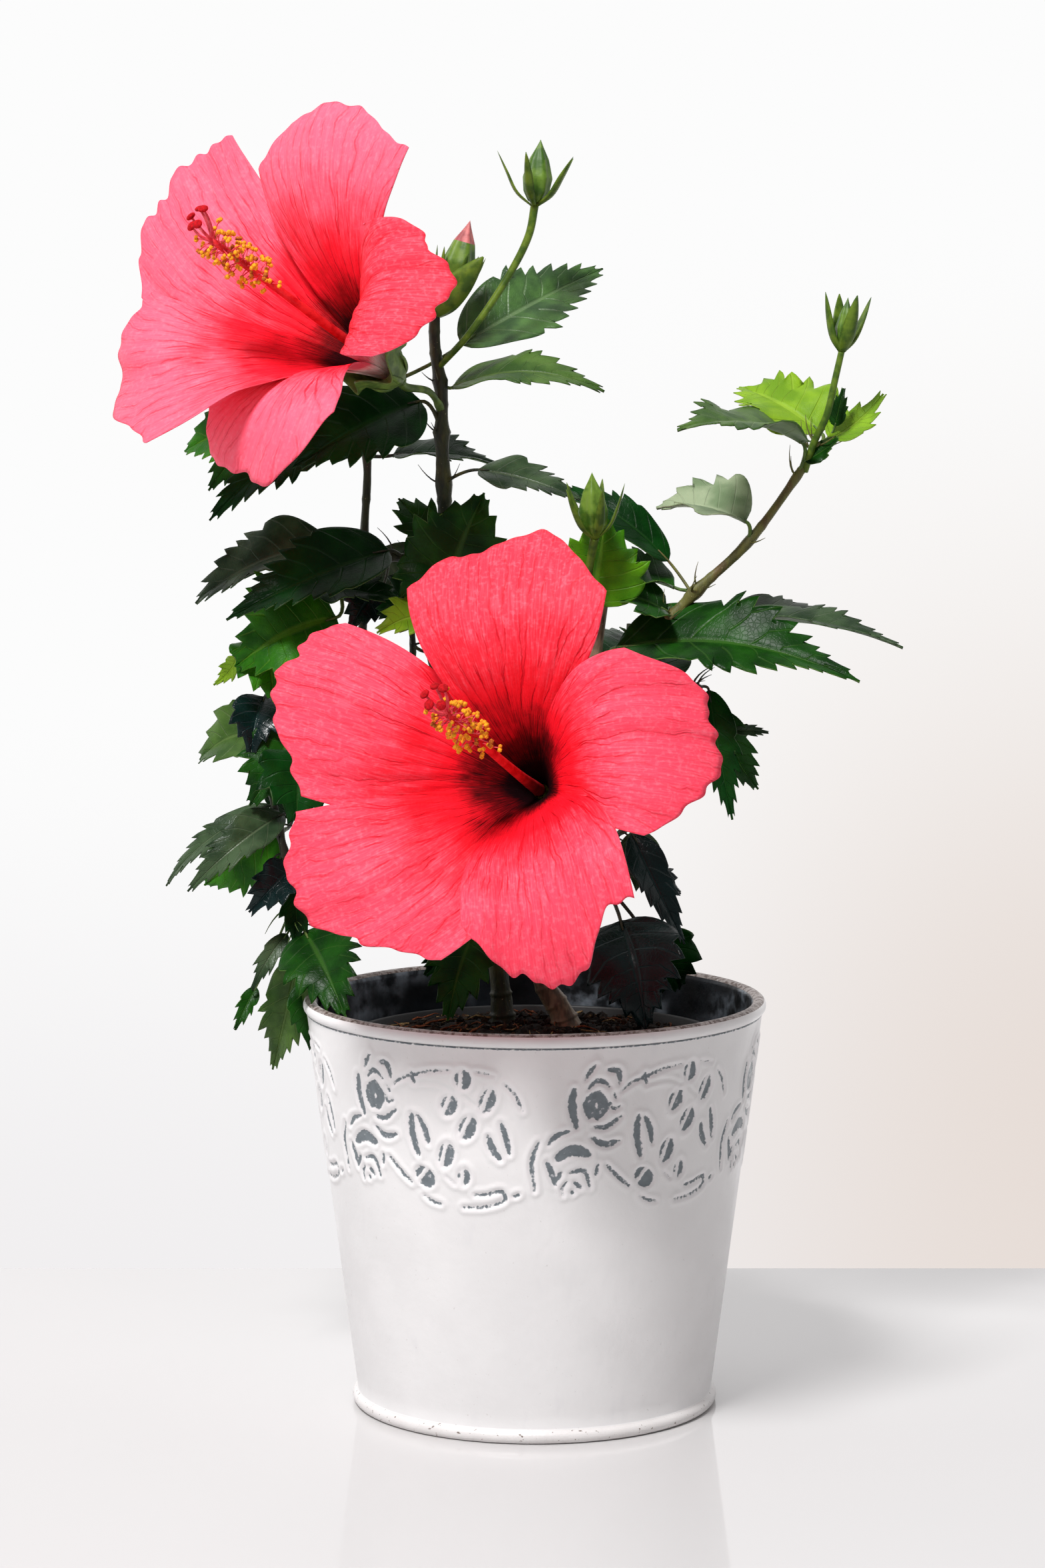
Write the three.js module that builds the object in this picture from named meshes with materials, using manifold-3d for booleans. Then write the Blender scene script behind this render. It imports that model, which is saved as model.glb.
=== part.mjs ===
// Hibiscus shrub in an embossed zinc pot: two open blooms, four buds and a leafy crown on two stems.
// Millimetres, +Z up, +X right, the front of the plant is towards -Y.
// The origin is the centre of the pot's flat underside.

import * as THREE from 'three';
import * as BufferGeometryUtils from 'three/addons/utils/BufferGeometryUtils.js';
import Module from 'manifold-3d';

const wasm = await Module();
wasm.setup();

// ---------------------------------------------------------------- driving dimensions

const GAP = 0.3;                  // clearance between neighbouring pieces

const POT_HEIGHT = 142;
const POT_RIM_RADIUS = 80;        // to the outside of the rolled rim
const POT_WALL = 1.1;
const RIM_ROLL = 2.5;             // radius of the rolled rim
const BASE_BEAD_RADIUS = 63.4;
const BASE_BEAD_HEIGHT = 4.6;
const WALL_FOOT_RADIUS = 61.6;
const FLOOR_THICKNESS = 1.5;
const POT_SEGMENTS = 40;

const LINER_RADIUS = 66;          // grower's pot that stands inside the zinc one
const LINER_FOOT_RADIUS = 50;
const LINER_TOP = 128;
const LINER_WALL = 1.3;
const LINER_SEGMENTS = 24;

const SOIL_TOP = 133;             // flat crown of the mound round the stems
const SOIL_CROWN_RADIUS = 24;
const SOIL_EDGE = 126;

const LEAF_THICKNESS = 0.9;
const LEAF_CUP = 0.16;            // how far the margins lift, as a share of the half width
const LEAF_TEETH_FROM = 0.38;     // the margin is smooth below this share of the blade
const LONG_BLADE = 56;            // a longer blade has one more pair of teeth
const FOLDED_BLADE = 60;          // a shorter blade is flat across, without its fold at the midrib
const STALK_THICK = [1.8, 0.8];   // leaf stalk, at the twig and at the blade
const RULED_LEAF = { shortest: 46, longest: 72, stalk: 0.28, narrow: 0.42, broad: 0.54 };
const TWIG_SIDES = 5;
const STALK_SIDES = 3;

const PETAL_THICKNESS = 0.9;
const PETAL_TWIST = 2;            // one margin of a petal lies this far over the axis plane, the other under
const PETAL_RUFFLE = 2.2;
const STAMENS = 10;
const STAMEN_LENGTH = 6.5;
const STIGMAS = 5;
const STIGMA_RADIUS = 1.9;
const STIGMA_REACH = 11;          // from the end of the column to each round stigma
const TUBE_DEPTH = 22;            // from the throat back to the floor of the calyx
const TUBE_FLOOR_RADIUS = 2.6;
const TUBE_THROAT_RADIUS = 9;

const UP = new THREE.Vector3(0, 0, 1);
const FRONT = new THREE.Vector3(0, -1, 0);
const RIGHT = new THREE.Vector3(1, 0, 0);

// ---------------------------------------------------------------- materials

function material(color, roughness, metalness = 0) {
  return new THREE.MeshStandardMaterial({ color, roughness, metalness });
}

const ZINC = material('#dedad9', 0.42, 0.6);
const LINER = material('#2b2c2e', 0.6);
const SOIL = material('#1d1711', 1);
const BARK = material('#3c3529', 0.75);
const YOUNG_BARK = material('#6b6634', 0.55);
const LEAF = material('#1d3a12', 0.35);
const YOUNG_LEAF = material('#4c7d1a', 0.45);
const PETAL = material('#f4475c', 0.6);
const COLUMN = material('#d81a24', 0.5);
const BUD = material('#5f8a2c', 0.5);

// ---------------------------------------------------------------- solids

function vector([x, y, z]) {
  return new THREE.Vector3(x, y, z);
}

// Moves each vertex of a ready-made geometry to the place that the rule gives it.
function reshape(geometry, rule) {
  const places = geometry.attributes.position;
  for (let i = 0; i < places.count; i += 1) {
    const to = rule(new THREE.Vector3().fromBufferAttribute(places, i));
    places.setXYZ(i, to.x, to.y, to.z);
  }
  return geometry;
}

function solid(geometry) {
  geometry.deleteAttribute('normal');
  geometry.deleteAttribute('uv');
  const merged = BufferGeometryUtils.mergeVertices(geometry, 1e-4);
  return new wasm.Manifold(new wasm.Mesh({
    numProp: 3,
    vertProperties: merged.attributes.position.array,
    triVerts: new Uint32Array(merged.index.array),
  }));
}

function fuse(solids) {
  return solids.reduce((all, one) => all.add(one));
}

// The largest piece of a solid: small scraps that a cut leaves are dropped.
function largest(shape) {
  return shape.decompose().reduce((best, one) => (one.volume() > best.volume() ? one : best));
}

function touches(shape, others) {
  return others.some((other) => shape.intersect(other).volume() > 0);
}

function node(name, shape, look) {
  const mesh = shape.getMesh();
  const geometry = new THREE.BufferGeometry();
  geometry.setAttribute('position', new THREE.BufferAttribute(mesh.vertProperties, 3));
  geometry.setIndex(new THREE.BufferAttribute(mesh.triVerts, 1));
  geometry.computeVertexNormals();
  const piece = new THREE.Mesh(geometry, look);
  piece.name = name;
  return piece;
}

// A tapering limb along a smooth curve. The flare widens its foot, as roots do.
function limb(points, [startThick, endThick], { sides = 8, steps = 6, flare = 0, grow = 0 } = {}) {
  const curve = new THREE.CatmullRomCurve3(points);
  const chord = points.at(-1).clone().sub(points[0]).normalize();
  const across = Math.abs(chord.y) > 0.8 ? RIGHT : FRONT;
  return solid(reshape(new THREE.CylinderGeometry(1, 1, 1, sides, steps), (v) => {
    const along = v.y + 0.5;
    const heading = curve.getTangent(along);
    const side = heading.clone().cross(across).normalize();
    const other = side.clone().cross(heading);
    const radius = THREE.MathUtils.lerp(startThick, endThick, along) / 2
      + flare * Math.exp(-14 * along) + grow;
    const past = (along === 1 ? grow : 0) - (along === 0 ? grow : 0);
    return curve.getPoint(along)
      .addScaledVector(heading, past)
      .addScaledVector(side, v.x * radius)
      .addScaledVector(other, v.z * radius);
  }));
}

function twigSteps(path) {
  return Math.round(1.4 * path.length);
}

function turned(profile, segments) {
  const outline = profile.map(([r, z]) => new THREE.Vector2(r, z));
  const geometry = new THREE.LatheGeometry(outline, segments);
  return solid(geometry.rotateX(Math.PI / 2));
}

// ---------------------------------------------------------------- pot, liner and soil

function arc(centre, radius, from, to, steps) {
  return Array.from({ length: steps + 1 }, (_, i) => {
    const angle = THREE.MathUtils.degToRad(THREE.MathUtils.lerp(from, to, i / steps));
    return [centre[0] + radius * Math.cos(angle), centre[1] + radius * Math.sin(angle)];
  });
}

function pot() {
  const beadRadius = BASE_BEAD_HEIGHT / 2;
  const bead = [BASE_BEAD_RADIUS - beadRadius, beadRadius];
  const roll = [POT_RIM_RADIUS - RIM_ROLL, POT_HEIGHT - RIM_ROLL];
  return turned([
    [0, 0],
    ...arc(bead, beadRadius, -90, 70, 3),
    [WALL_FOOT_RADIUS, BASE_BEAD_HEIGHT + 0.6],
    ...arc(roll, RIM_ROLL, -60, 180, 5),
    [roll[0] - RIM_ROLL, roll[1] - RIM_ROLL],
    [WALL_FOOT_RADIUS - POT_WALL, FLOOR_THICKNESS],
    [0, FLOOR_THICKNESS],
  ], POT_SEGMENTS);
}

function liner() {
  const foot = FLOOR_THICKNESS + GAP;
  return turned([
    [0, foot],
    [LINER_FOOT_RADIUS, foot],
    [LINER_RADIUS - 1, LINER_TOP - 6],
    [LINER_RADIUS, LINER_TOP - 5],
    [LINER_RADIUS, LINER_TOP],
    [LINER_RADIUS - LINER_WALL - 1, LINER_TOP],
    [LINER_FOOT_RADIUS - LINER_WALL, foot + LINER_WALL],
    [0, foot + LINER_WALL],
  ], LINER_SEGMENTS);
}

function soil() {
  const foot = FLOOR_THICKNESS + GAP + LINER_WALL + GAP;
  const slack = LINER_WALL + 1 + 2 * GAP;
  return turned([
    [0, foot],
    [LINER_FOOT_RADIUS - slack, foot],
    [LINER_RADIUS - slack - 0.6, SOIL_EDGE],
    [LINER_RADIUS * 0.66, SOIL_EDGE + 2],
    [SOIL_CROWN_RADIUS, SOIL_TOP],
    [0, SOIL_TOP],
  ], LINER_SEGMENTS);
}

// ---------------------------------------------------------------- leaves

// Half width of a blade along its length, as a share of the widest place: broad below, long-pointed.
function bladeWidth(along) {
  return Math.sin(Math.PI * along ** 0.62) * (1 - 0.4 * along ** 3);
}

// The margin from base to tip: smooth below, then coarse teeth that point forward.
function bladeMargin(teeth) {
  const margin = [[0, 0.16], [0.12, bladeWidth(0.12)], [0.3, 1]];
  for (let tooth = 0; tooth < teeth; tooth += 1) {
    const along = LEAF_TEETH_FROM + (0.56 * tooth) / teeth;
    margin.push([along + 0.06, bladeWidth(along + 0.06) * 1.12]);
    margin.push([along + 0.09, bladeWidth(along + 0.09) * 0.76]);
  }
  margin.push([1, 0.02]);
  return margin;
}

// A leaf springs from a place on its twig and reaches to its tip. Its face turns by tilt from up towards
// the front, and lean turns it to the right. The stalk is the first share of the way, the rest is blade.
function leafParts({ from, reach, stalk, width, arch, tilt, lean = 0 }, grow = 0) {
  const chord = reach.clone().normalize();
  const turn = THREE.MathUtils.degToRad(tilt);
  const face = UP.clone().multiplyScalar(Math.cos(turn))
    .addScaledVector(FRONT, Math.sin(turn))
    .addScaledVector(RIGHT, lean);
  face.addScaledVector(chord, -face.dot(chord)).normalize();
  const side = chord.clone().cross(face);
  const crest = from.clone().addScaledVector(reach, 0.5).addScaledVector(face, 2 * arch);
  const spine = new THREE.QuadraticBezierCurve3(from, crest, from.clone().add(reach));

  const bladeLength = reach.length() * (1 - stalk);
  const margin = bladeMargin(bladeLength > LONG_BLADE ? 3 : 2);
  const thickness = LEAF_THICKNESS + 2 * grow;
  const strips = bladeLength < FOLDED_BLADE ? 1 : 2;
  const blade = solid(reshape(new THREE.BoxGeometry(1, 1, 1, strips, margin.length - 1, 1), (v) => {
    const [along, spread] = margin[Math.round((v.y + 0.5) * (margin.length - 1))];
    const place = stalk + (1 - stalk) * along;
    const half = (spread * width) / 2 + grow;
    const normal = side.clone().cross(spine.getTangent(place));
    const lift = Math.abs(v.x) * 2 * half * (LEAF_CUP + 0.1 * Math.sin(11 * along + 3 * v.x));
    return spine.getPoint(place)
      .addScaledVector(side, v.x * 2 * half)
      .addScaledVector(normal, lift + v.z * thickness);
  }));

  const stalkPath = [0, stalk * 0.5, stalk + (1 - stalk) * 0.06].map((place) => spine.getPoint(place));
  const thick = STALK_THICK.map((across) => across + 2 * grow);
  return { blade, stem: limb(stalkPath, thick, { sides: STALK_SIDES, steps: 1 }) };
}

function seeded(seed) {
  let state = seed;
  return () => {
    state = (state * 1664525 + 1013904223) % 4294967296;
    return state / 4294967296;
  };
}

// More leaves by rule: they spring from the twig all along it, spread to both sides of a heading, and
// keep to the space given for them.
function ruledLeaves(curve, { count, heading, spread, seed }) {
  const random = seeded(seed);
  return Array.from({ length: count }, (_, i) => {
    const at = (i + 0.3 + 0.5 * random()) / count;
    const swing = heading + spread * (i % 2 ? 1 : -1) * (0.25 + 0.75 * random());
    const azimuth = THREE.MathUtils.degToRad(swing);
    const rise = 0.5 * random() - 0.15;
    const length = THREE.MathUtils.lerp(RULED_LEAF.shortest, RULED_LEAF.longest, random());
    const reach = new THREE.Vector3(Math.cos(azimuth), Math.sin(azimuth), rise).multiplyScalar(length);
    return {
      from: curve.getPoint(at),
      reach,
      stalk: RULED_LEAF.stalk,
      width: length * THREE.MathUtils.lerp(RULED_LEAF.narrow, RULED_LEAF.broad, random()),
      arch: 5 + 5 * random(),
      tilt: -70 * random() * Math.sin(azimuth),
    };
  });
}

function within(leaf, [low, high]) {
  const tip = leaf.from.clone().add(leaf.reach);
  return new THREE.Box3(vector(low), vector(high)).containsPoint(tip);
}

// A mass of foliage: one twig with its leaves fused on. A leaf by rule that would touch a neighbour or
// leave the mass's space is skipped.
function foliage({ stem, thick, leaves, more }, neighbours, carrier) {
  const path = stem.map(vector);
  const curve = new THREE.CatmullRomCurve3(path);
  const parts = [limb(path, thick, { sides: TWIG_SIDES, steps: twigSteps(path) })];
  const placed = leaves.map(([at, reach, stalk, width, arch, tilt, lean]) => (
    { from: curve.getPoint(at), reach: vector(reach), stalk, width, arch, tilt, lean }));
  const ruled = more ? ruledLeaves(curve, more).filter((leaf) => within(leaf, more.space)) : [];
  for (const leaf of [...placed, ...ruled]) {
    const test = leafParts(leaf, GAP);
    if (!touches(test.blade, neighbours) && !touches(test.stem, neighbours)) {
      const { blade, stem: stalk } = leafParts(leaf);
      parts.push(blade, stalk);
    }
  }
  return largest(fuse(parts).subtract(carrier));
}

// ---------------------------------------------------------------- blooms

// A frame of reference for a bloom or bud: its axis, and the directions to its right and its top as
// seen by someone who faces it.
function facing(axis) {
  const ahead = vector(axis).normalize();
  const top = UP.clone().addScaledVector(ahead, -UP.dot(ahead)).normalize();
  const right = top.clone().cross(ahead);
  return { ahead, top, right };
}

function petal(bloom, [azimuth, reach, rise, width]) {
  const { ahead, top, right } = facing(bloom.axis);
  const throat = vector(bloom.throat);
  const spine = new THREE.CubicBezierCurve(
    new THREE.Vector2(TUBE_FLOOR_RADIUS, -TUBE_DEPTH),
    new THREE.Vector2(TUBE_THROAT_RADIUS, 2),
    new THREE.Vector2(reach * 0.5, rise + bloom.reflex),
    new THREE.Vector2(reach, rise),
  );
  const place = (along, across, lift) => {
    const shorten = 1 - 0.2 * Math.abs(across) ** 2.6 * along ** 3;
    const { x: radius, y: height } = spine.getPoint(along * shorten);
    const swell = (width / 2) * Math.sin((Math.PI / 2) * Math.min(1, radius / reach / 0.74)) ** 0.8;
    const half = (swell ** -4 + (0.95 * radius) ** -4) ** -0.25;
    const wrap = Math.exp(-radius / 12);
    const angle = wrap * ((across * half) / radius) + (1 - wrap) * Math.atan2(across * half, radius);
    const out = wrap * radius + (1 - wrap) * Math.hypot(across * half, radius);
    const turn = THREE.MathUtils.degToRad(azimuth) + angle;
    const ruffle = PETAL_RUFFLE * along ** 3 * Math.sin(5.5 * across + azimuth);
    const over = PETAL_TWIST * across * Math.min(1, radius / 20);
    return throat.clone()
      .addScaledVector(right, out * Math.cos(turn))
      .addScaledVector(top, out * Math.sin(turn))
      .addScaledVector(ahead, height + ruffle + over + lift);
  };
  return solid(reshape(new THREE.BoxGeometry(1, 1, 1, 4, 5, 1), (v) => {
    const along = v.y + 0.5;
    const across = 2 * v.x;
    const lift = v.z * PETAL_THICKNESS;
    const middle = place(along, across, 0);
    const ahead1 = place(Math.min(along + 0.01, 1), across, 0);
    const behind = place(Math.max(along - 0.01, 0), across, 0);
    const beside = place(along, across + 0.01, 0).sub(place(along, across - 0.01, 0));
    const normal = beside.cross(ahead1.sub(behind)).normalize();
    return middle.addScaledVector(normal, lift);
  }));
}

function petals(bloom) {
  const { ahead } = facing(bloom.axis);
  const floor = vector(bloom.throat).addScaledVector(ahead, -TUBE_DEPTH);
  const plug = limb([floor.clone(), floor.clone().addScaledVector(ahead, 2)], [6.4, 6.8], { steps: 1 });
  return fuse([...bloom.petals.map((row) => petal(bloom, row)), plug]);
}

// The red column: a tube that carries the stamens on its outer part, and five branches with round
// stigmas at its end.
function column(bloom) {
  const { ahead } = facing(bloom.axis);
  const lean = facing(bloom.columnAxis);
  const foot = vector(bloom.throat).addScaledVector(ahead, -TUBE_DEPTH + 2 + GAP);
  const tip = vector(bloom.throat).addScaledVector(lean.ahead, bloom.columnLength);
  const path = [foot, vector(bloom.throat).addScaledVector(ahead, 4), tip];
  const curve = new THREE.CatmullRomCurve3(path);
  const parts = [limb(path, [3.4, 2.2], { sides: 5, steps: 5 })];
  for (let i = 0; i < STAMENS; i += 1) {
    const at = curve.getPoint(0.6 + (0.36 * i) / STAMENS);
    const turn = i * 2.4;
    const away = lean.right.clone().multiplyScalar(Math.cos(turn))
      .addScaledVector(lean.top, Math.sin(turn))
      .addScaledVector(lean.ahead, 0.25)
      .normalize();
    const anther = at.clone().addScaledVector(away, STAMEN_LENGTH);
    parts.push(limb([at, anther], [0.8, 2.4], { sides: STALK_SIDES, steps: 1 }));
  }
  for (let i = 0; i < STIGMAS; i += 1) {
    const turn = (i * Math.PI * 2) / STIGMAS + 0.5;
    const away = lean.ahead.clone()
      .addScaledVector(lean.right, 0.5 * Math.cos(turn))
      .addScaledVector(lean.top, 0.5 * Math.sin(turn));
    const head = tip.clone().addScaledVector(away, STIGMA_REACH);
    const root = tip.clone().addScaledVector(lean.ahead, -1);
    parts.push(limb([root, head], [1.2, 0.9], { sides: STALK_SIDES, steps: 1 }));
    parts.push(solid(new THREE.OctahedronGeometry(STIGMA_RADIUS).translate(head.x, head.y, head.z)));
  }
  return fuse(parts);
}

// The green cup behind the petals, with its five pointed lobes, and the stalk that carries it.
function calyx(bloom, carrier) {
  const { ahead, top, right } = facing(bloom.axis);
  const outline = [
    [0, -28], [2.2, -28], [7.5, -20], [11.6, -11], [12.6, -8],
    [11.7, -9], [7.9, -17], [5.2, -TUBE_DEPTH - 0.6], [0, -TUBE_DEPTH - 0.6],
  ].map(([r, s]) => new THREE.Vector2(r, s));
  const cup = solid(reshape(new THREE.LatheGeometry(outline, 10).rotateX(Math.PI / 2), (v) => {
    const turn = Math.atan2(v.y, v.x);
    const lobe = v.z > -12 ? 3 * Math.cos(5 * turn) : 0;
    return vector(bloom.throat)
      .addScaledVector(right, v.x)
      .addScaledVector(top, v.y)
      .addScaledVector(ahead, v.z + lobe);
  }));
  const seat = vector(bloom.throat).addScaledVector(ahead, -26);
  const stalk = limb([...bloom.stalk.map(vector), seat], [2.2, 3.4], { sides: TWIG_SIDES, steps: 5 });
  return largest(cup.add(stalk).subtract(carrier));
}

// ---------------------------------------------------------------- buds

// A pointed bud on its stalk, in a ring of narrow bracts that curve outward.
function bud({ stalk, thick, tip, width, bracts, bractLength, bractSpread }, carrier) {
  const path = stalk.map(vector);
  const base = path.at(-1);
  const length = vector(tip).distanceTo(base);
  const { ahead, top, right } = facing(vector(tip).sub(base).toArray());
  const outline = [[0, -1], [0.5, -0.2], [0.85, 0.15], [1, 0.4], [0.7, 0.72], [0, 1]];
  const body = solid(reshape(
    new THREE.LatheGeometry(outline.map(([r, s]) => new THREE.Vector2(r, s)), 8).rotateX(Math.PI / 2),
    (v) => base.clone()
      .addScaledVector(right, (v.x * width) / 2)
      .addScaledVector(top, (v.y * width) / 2)
      .addScaledVector(ahead, v.z > -0.5 ? v.z * length : -1.5),
  ));
  const parts = [limb(path, thick, { sides: TWIG_SIDES, steps: twigSteps(path) }), body];
  for (let i = 0; i < bracts; i += 1) {
    const turn = (i * Math.PI * 2) / bracts + 0.3;
    const out = right.clone().multiplyScalar(Math.cos(turn)).addScaledVector(top, Math.sin(turn));
    const along = [[0.2, 0], [0.75, 0.3], [1.1, 1]].map(([away, forward]) => base.clone()
      .addScaledVector(out, away * bractSpread)
      .addScaledVector(ahead, forward * bractLength));
    parts.push(limb(along, [2.6, 0.8], { sides: 3, steps: 2 }));
  }
  return largest(fuse(parts).subtract(carrier));
}

// ---------------------------------------------------------------- the plant

const STEM_START = SOIL_TOP - 4;    // a stem starts below the soil's top, then its foot is cut flat there

const LIMBS = {
  main_stem: {
    points: [[-11, 10, STEM_START], [-12, 10, 145], [-17, 10, 187], [-25, 10, 242], [-31, 10, 298]],
    thick: [7.4, 4], flare: 2.5, steps: 12,
  },
  woody_stem: {
    points: [[12, 0, STEM_START], [9, 0, 137], [3, 0, 148], [5, 0, 183], [17, 0, 237], [23, 0, 278]],
    thick: [8.5, 4.6], flare: 3, steps: 12,
  },
  second_bough: {
    points: [[-20, 10, 203], [-33, 20, 224], [-52, 25, 246], [-60, 25, 267]],
    thick: [3.8, 3.2], leaves: 'main_stem', look: YOUNG_BARK,
  },
  drooping_bough: {
    points: [[-16, 10, 178], [-36, 26, 204], [-50, 28, 229]],
    thick: [3.6, 2.6], leaves: 'main_stem', look: YOUNG_BARK,
  },
  right_bough: {
    points: [[20, 0, 254], [32, 0, 263], [45, 0, 270.7]],
    thick: [4.2, 3.7], leaves: 'woody_stem', look: YOUNG_BARK,
  },
};

// Each mass: its stem, and its leaves as
// [place on the stem, reach to the tip, share that is stalk, width, arch, tilt, lean].
const FOLIAGE = {
  tall_shoot_foliage: {
    carrier: 'main_stem', look: LEAF, thick: [4, 3],
    stem: [[-31, 10, 298.3], [-31, 10, 312], [-32, 10, 334], [-32, 9, 350], [-34, 8, 366], [-34, 8, 379]],
    leaves: [
      [0.64, [57, -9, 0], 0.07, 32, 6, 22],
      [0.42, [-50, -21, -9], 0.17, 36, 3, 45],
      [0.26, [28, -12, -9], 0.38, 20, 4, 35],
    ],
  },
  second_shoot_foliage: {
    carrier: 'second_bough', look: LEAF, thick: [3.2, 2.4],
    stem: [[-60, 25, 267.4], [-59, 25, 286], [-59, 25, 301], [-58, 25, 322], [-59, 25, 339], [-57, 26, 351]],
    leaves: [
      [1.0, [81, 30, 41], 0.39, 36, 4, 35],
      [0.66, [47, 16, 1], 0.24, 22, 3, 12],
      [0.79, [-53, -25, -27], 0.17, 20, 12, 30],
      [0.85, [-64, 20, -11], 0.49, 28, 6, 40],
      [0.84, [-52, -5, -22], 0.59, 14, 3, 60],
    ],
    more: { count: 5, heading: 130, spread: 70, seed: 5, space: [[-105, 30, 250], [-50, 90, 380]] },
  },
  left_shoot_foliage: {
    carrier: 'main_stem', look: LEAF, thick: [3, 1.8],
    stem: [[-31, 10, 290], [-41, 5, 292], [-50, 2, 294], [-65, 2, 292], [-76, 0, 284], [-83, 0, 272]],
    leaves: [
      [0.29, [-54, -27, -21], 0.07, 34, 7, 38],
      [0.56, [-52, 13, -15], 0.15, 26, 7, 25],
      [0.68, [-17, -21, -42], 0.22, 36, 6, 65],
      [0.6, [23, -17, -10], 0.26, 18, 2, 30],
      [0.97, [-26, 13, -24], 0.47, 12, 6, 50],
      [0.37, [-9, -7, -26], 0.46, 18, 2, 80],
    ],
    more: { count: 2, heading: 120, spread: 60, seed: 8, space: [[-108, 10, 240], [-60, 80, 300]] },
  },
  lower_left_foliage: {
    carrier: 'drooping_bough', look: LEAF, thick: [2.6, 2],
    stem: [[-50.3, 27.8, 229.3], [-71, 12, 236], [-84, 5, 233], [-90, 0, 220], [-89, -2, 205], [-85, 0, 188]],
    leaves: [
      [0.46, [-30, 15, -10], 0.3, 24, 5, 30],
      [0.54, [-8, -14, -20], 0.18, 22, 4, 80],
      [0.66, [13, -16, -20], 0.3, 32, 4, 85],
      [0.8, [-38, 12, -28], 0.08, 20, 8, 28],
      [0.84, [-30, -16, -25], 0.1, 26, 8, 40],
      [0.88, [-28, 26, -22], 0.14, 22, 3, 80],
      [0.97, [-13, -8, -18], 0.2, 14, 3, 60],
    ],
    more: { count: 3, heading: 120, spread: 60, seed: 11, space: [[-100, 10, 160], [-60, 80, 260]] },
  },
  hanging_foliage: {
    carrier: 'lower_left_foliage', look: LEAF, thick: [2, 1.6],
    stem: [[-84.9, 0.1, 187.5], [-85, 2, 180], [-84, 4, 170], [-81, 2, 166]],
    leaves: [
      [0.58, [-19, -13, -42], 0.11, 11, -4, 90],
      [0.98, [19, -32, -28], 0.07, 26, 4, 80],
      [0.89, [-18, 30, -57], 0.25, 18, 3, 85, -0.3],
    ],
  },
  right_shoot_foliage: {
    carrier: 'right_bough', look: LEAF, thick: [3.7, 2.2],
    stem: [[45.3, 0, 270.9], [54, 0, 281], [73, 0, 299], [90, 0, 322], [97, 0, 333]],
    leaves: [
      [0.06, [73, -15, -20], 0.2, 24, 3, 8],
      [0.05, [63, 25, -17], 0.24, 24, 5, 10],
      [0.08, [-30, -10, 0], 0.25, 20, 3, 30],
      [0.25, [-56, 25, 34], 0.2, 24, 6, 40],
      [0.28, [-39, 10, 3], 0.22, 20, 3, 12],
      [0.5, [-31, 15, 10], 0.15, 34, 2, 25],
      [0.74, [-43, -50, 16], 0.15, 38, 4, 5],
      [0.97, [-24, 45, 19], 0.16, 34, 3, 28],
      [1.0, [23, 10, 17], 0.12, 18, -3, 20],
    ],
  },
  right_low_foliage: {
    carrier: 'woody_stem', look: LEAF, thick: [2.6, 1.8],
    stem: [[19, 0, 250], [26, -8, 252], [42, -10, 253], [57, -4, 249]],
    leaves: [
      [0.3, [76, -42, 1], 0.08, 40, 7, 38],
      [0.97, [12, -9, -44], 0.09, 22, 4, 85],
      [0.93, [22, 20, -38], 0.23, 22, 3, 85],
    ],
    more: { count: 4, heading: 60, spread: 60, seed: 17, space: [[10, 15, 190], [80, 80, 275]] },
  },
  low_right_foliage: {
    carrier: 'woody_stem', look: LEAF, thick: [2.4, 1.8],
    stem: [[5, 0, 178], [18, 5, 189], [31, 8, 199]],
    leaves: [
      [1.0, [20, -18, -37], 0.16, 17, 3, 55, 0.3],
      [1.0, [10, 12, -24], 0.16, 14, 2, 90],
      [0.63, [29, -1, -15], 0.51, 14, 2, 20],
      [0.51, [17, -51, -52], 0.44, 26, 5, 85],
      [0.45, [34, 9, -45], 0.55, 22, 3, 80],
    ],
    more: { count: 2, heading: 60, spread: 70, seed: 20, space: [[0, 20, 150], [60, 80, 215]] },
  },
  low_front_foliage: {
    carrier: 'main_stem', look: LEAF, thick: [2, 1.6],
    stem: [[-14, 10, 164], [-19, 2, 170]],
    leaves: [
      [0.97, [-11, -17, -34], 0.15, 22, 3, 85],
      [0.9, [-20, 14, -23], 0.6, 8, 1, 90],
    ],
  },
  centre_foliage: {
    carrier: 'woody_stem', look: YOUNG_LEAF, thick: [2.4, 1.8],
    stem: [[22, 0, 270], [20, -8, 278], [19, -14, 285]],
    leaves: [
      [0.35, [4, 3, 34], 0.11, 33, 3, 85],
    ],
  },
  centre_left_foliage: {
    carrier: 'main_stem', look: LEAF, thick: [2.4, 1.8],
    stem: [[-30, 10, 284], [-26, -2, 283], [-22, -8, 280]],
    leaves: [
      [0.98, [5, -5, 36], 0.06, 32, 4, 80],
      [0.3, [-19, 2, 27], 0.41, 14, 3, 60],
      [0.5, [-13, -20, -11], 0.35, 20, 4, 70],
      [0.74, [-27, -27, -12], 0.38, 14, 2, 60],
      [0.4, [-22, 16, -14], 0.29, 16, 2, 60],
    ],
  },
  back_left_foliage: {
    carrier: 'main_stem', look: LEAF, thick: [3, 1.8],
    stem: [[-17, 10, 190], [-32, 46, 214], [-42, 62, 242], [-44, 70, 270]],
    leaves: [],
    more: { count: 10, heading: 120, spread: 95, seed: 23, space: [[-85, 30, 165], [20, 118, 305]] },
  },
  back_right_foliage: {
    carrier: 'woody_stem', look: LEAF, thick: [3, 1.8],
    stem: [[6, 0, 188], [22, 36, 212], [32, 56, 238], [34, 64, 266]],
    leaves: [],
    more: { count: 10, heading: 60, spread: 95, seed: 31, space: [[-20, 30, 160], [78, 116, 300]] },
  },
};

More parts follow.
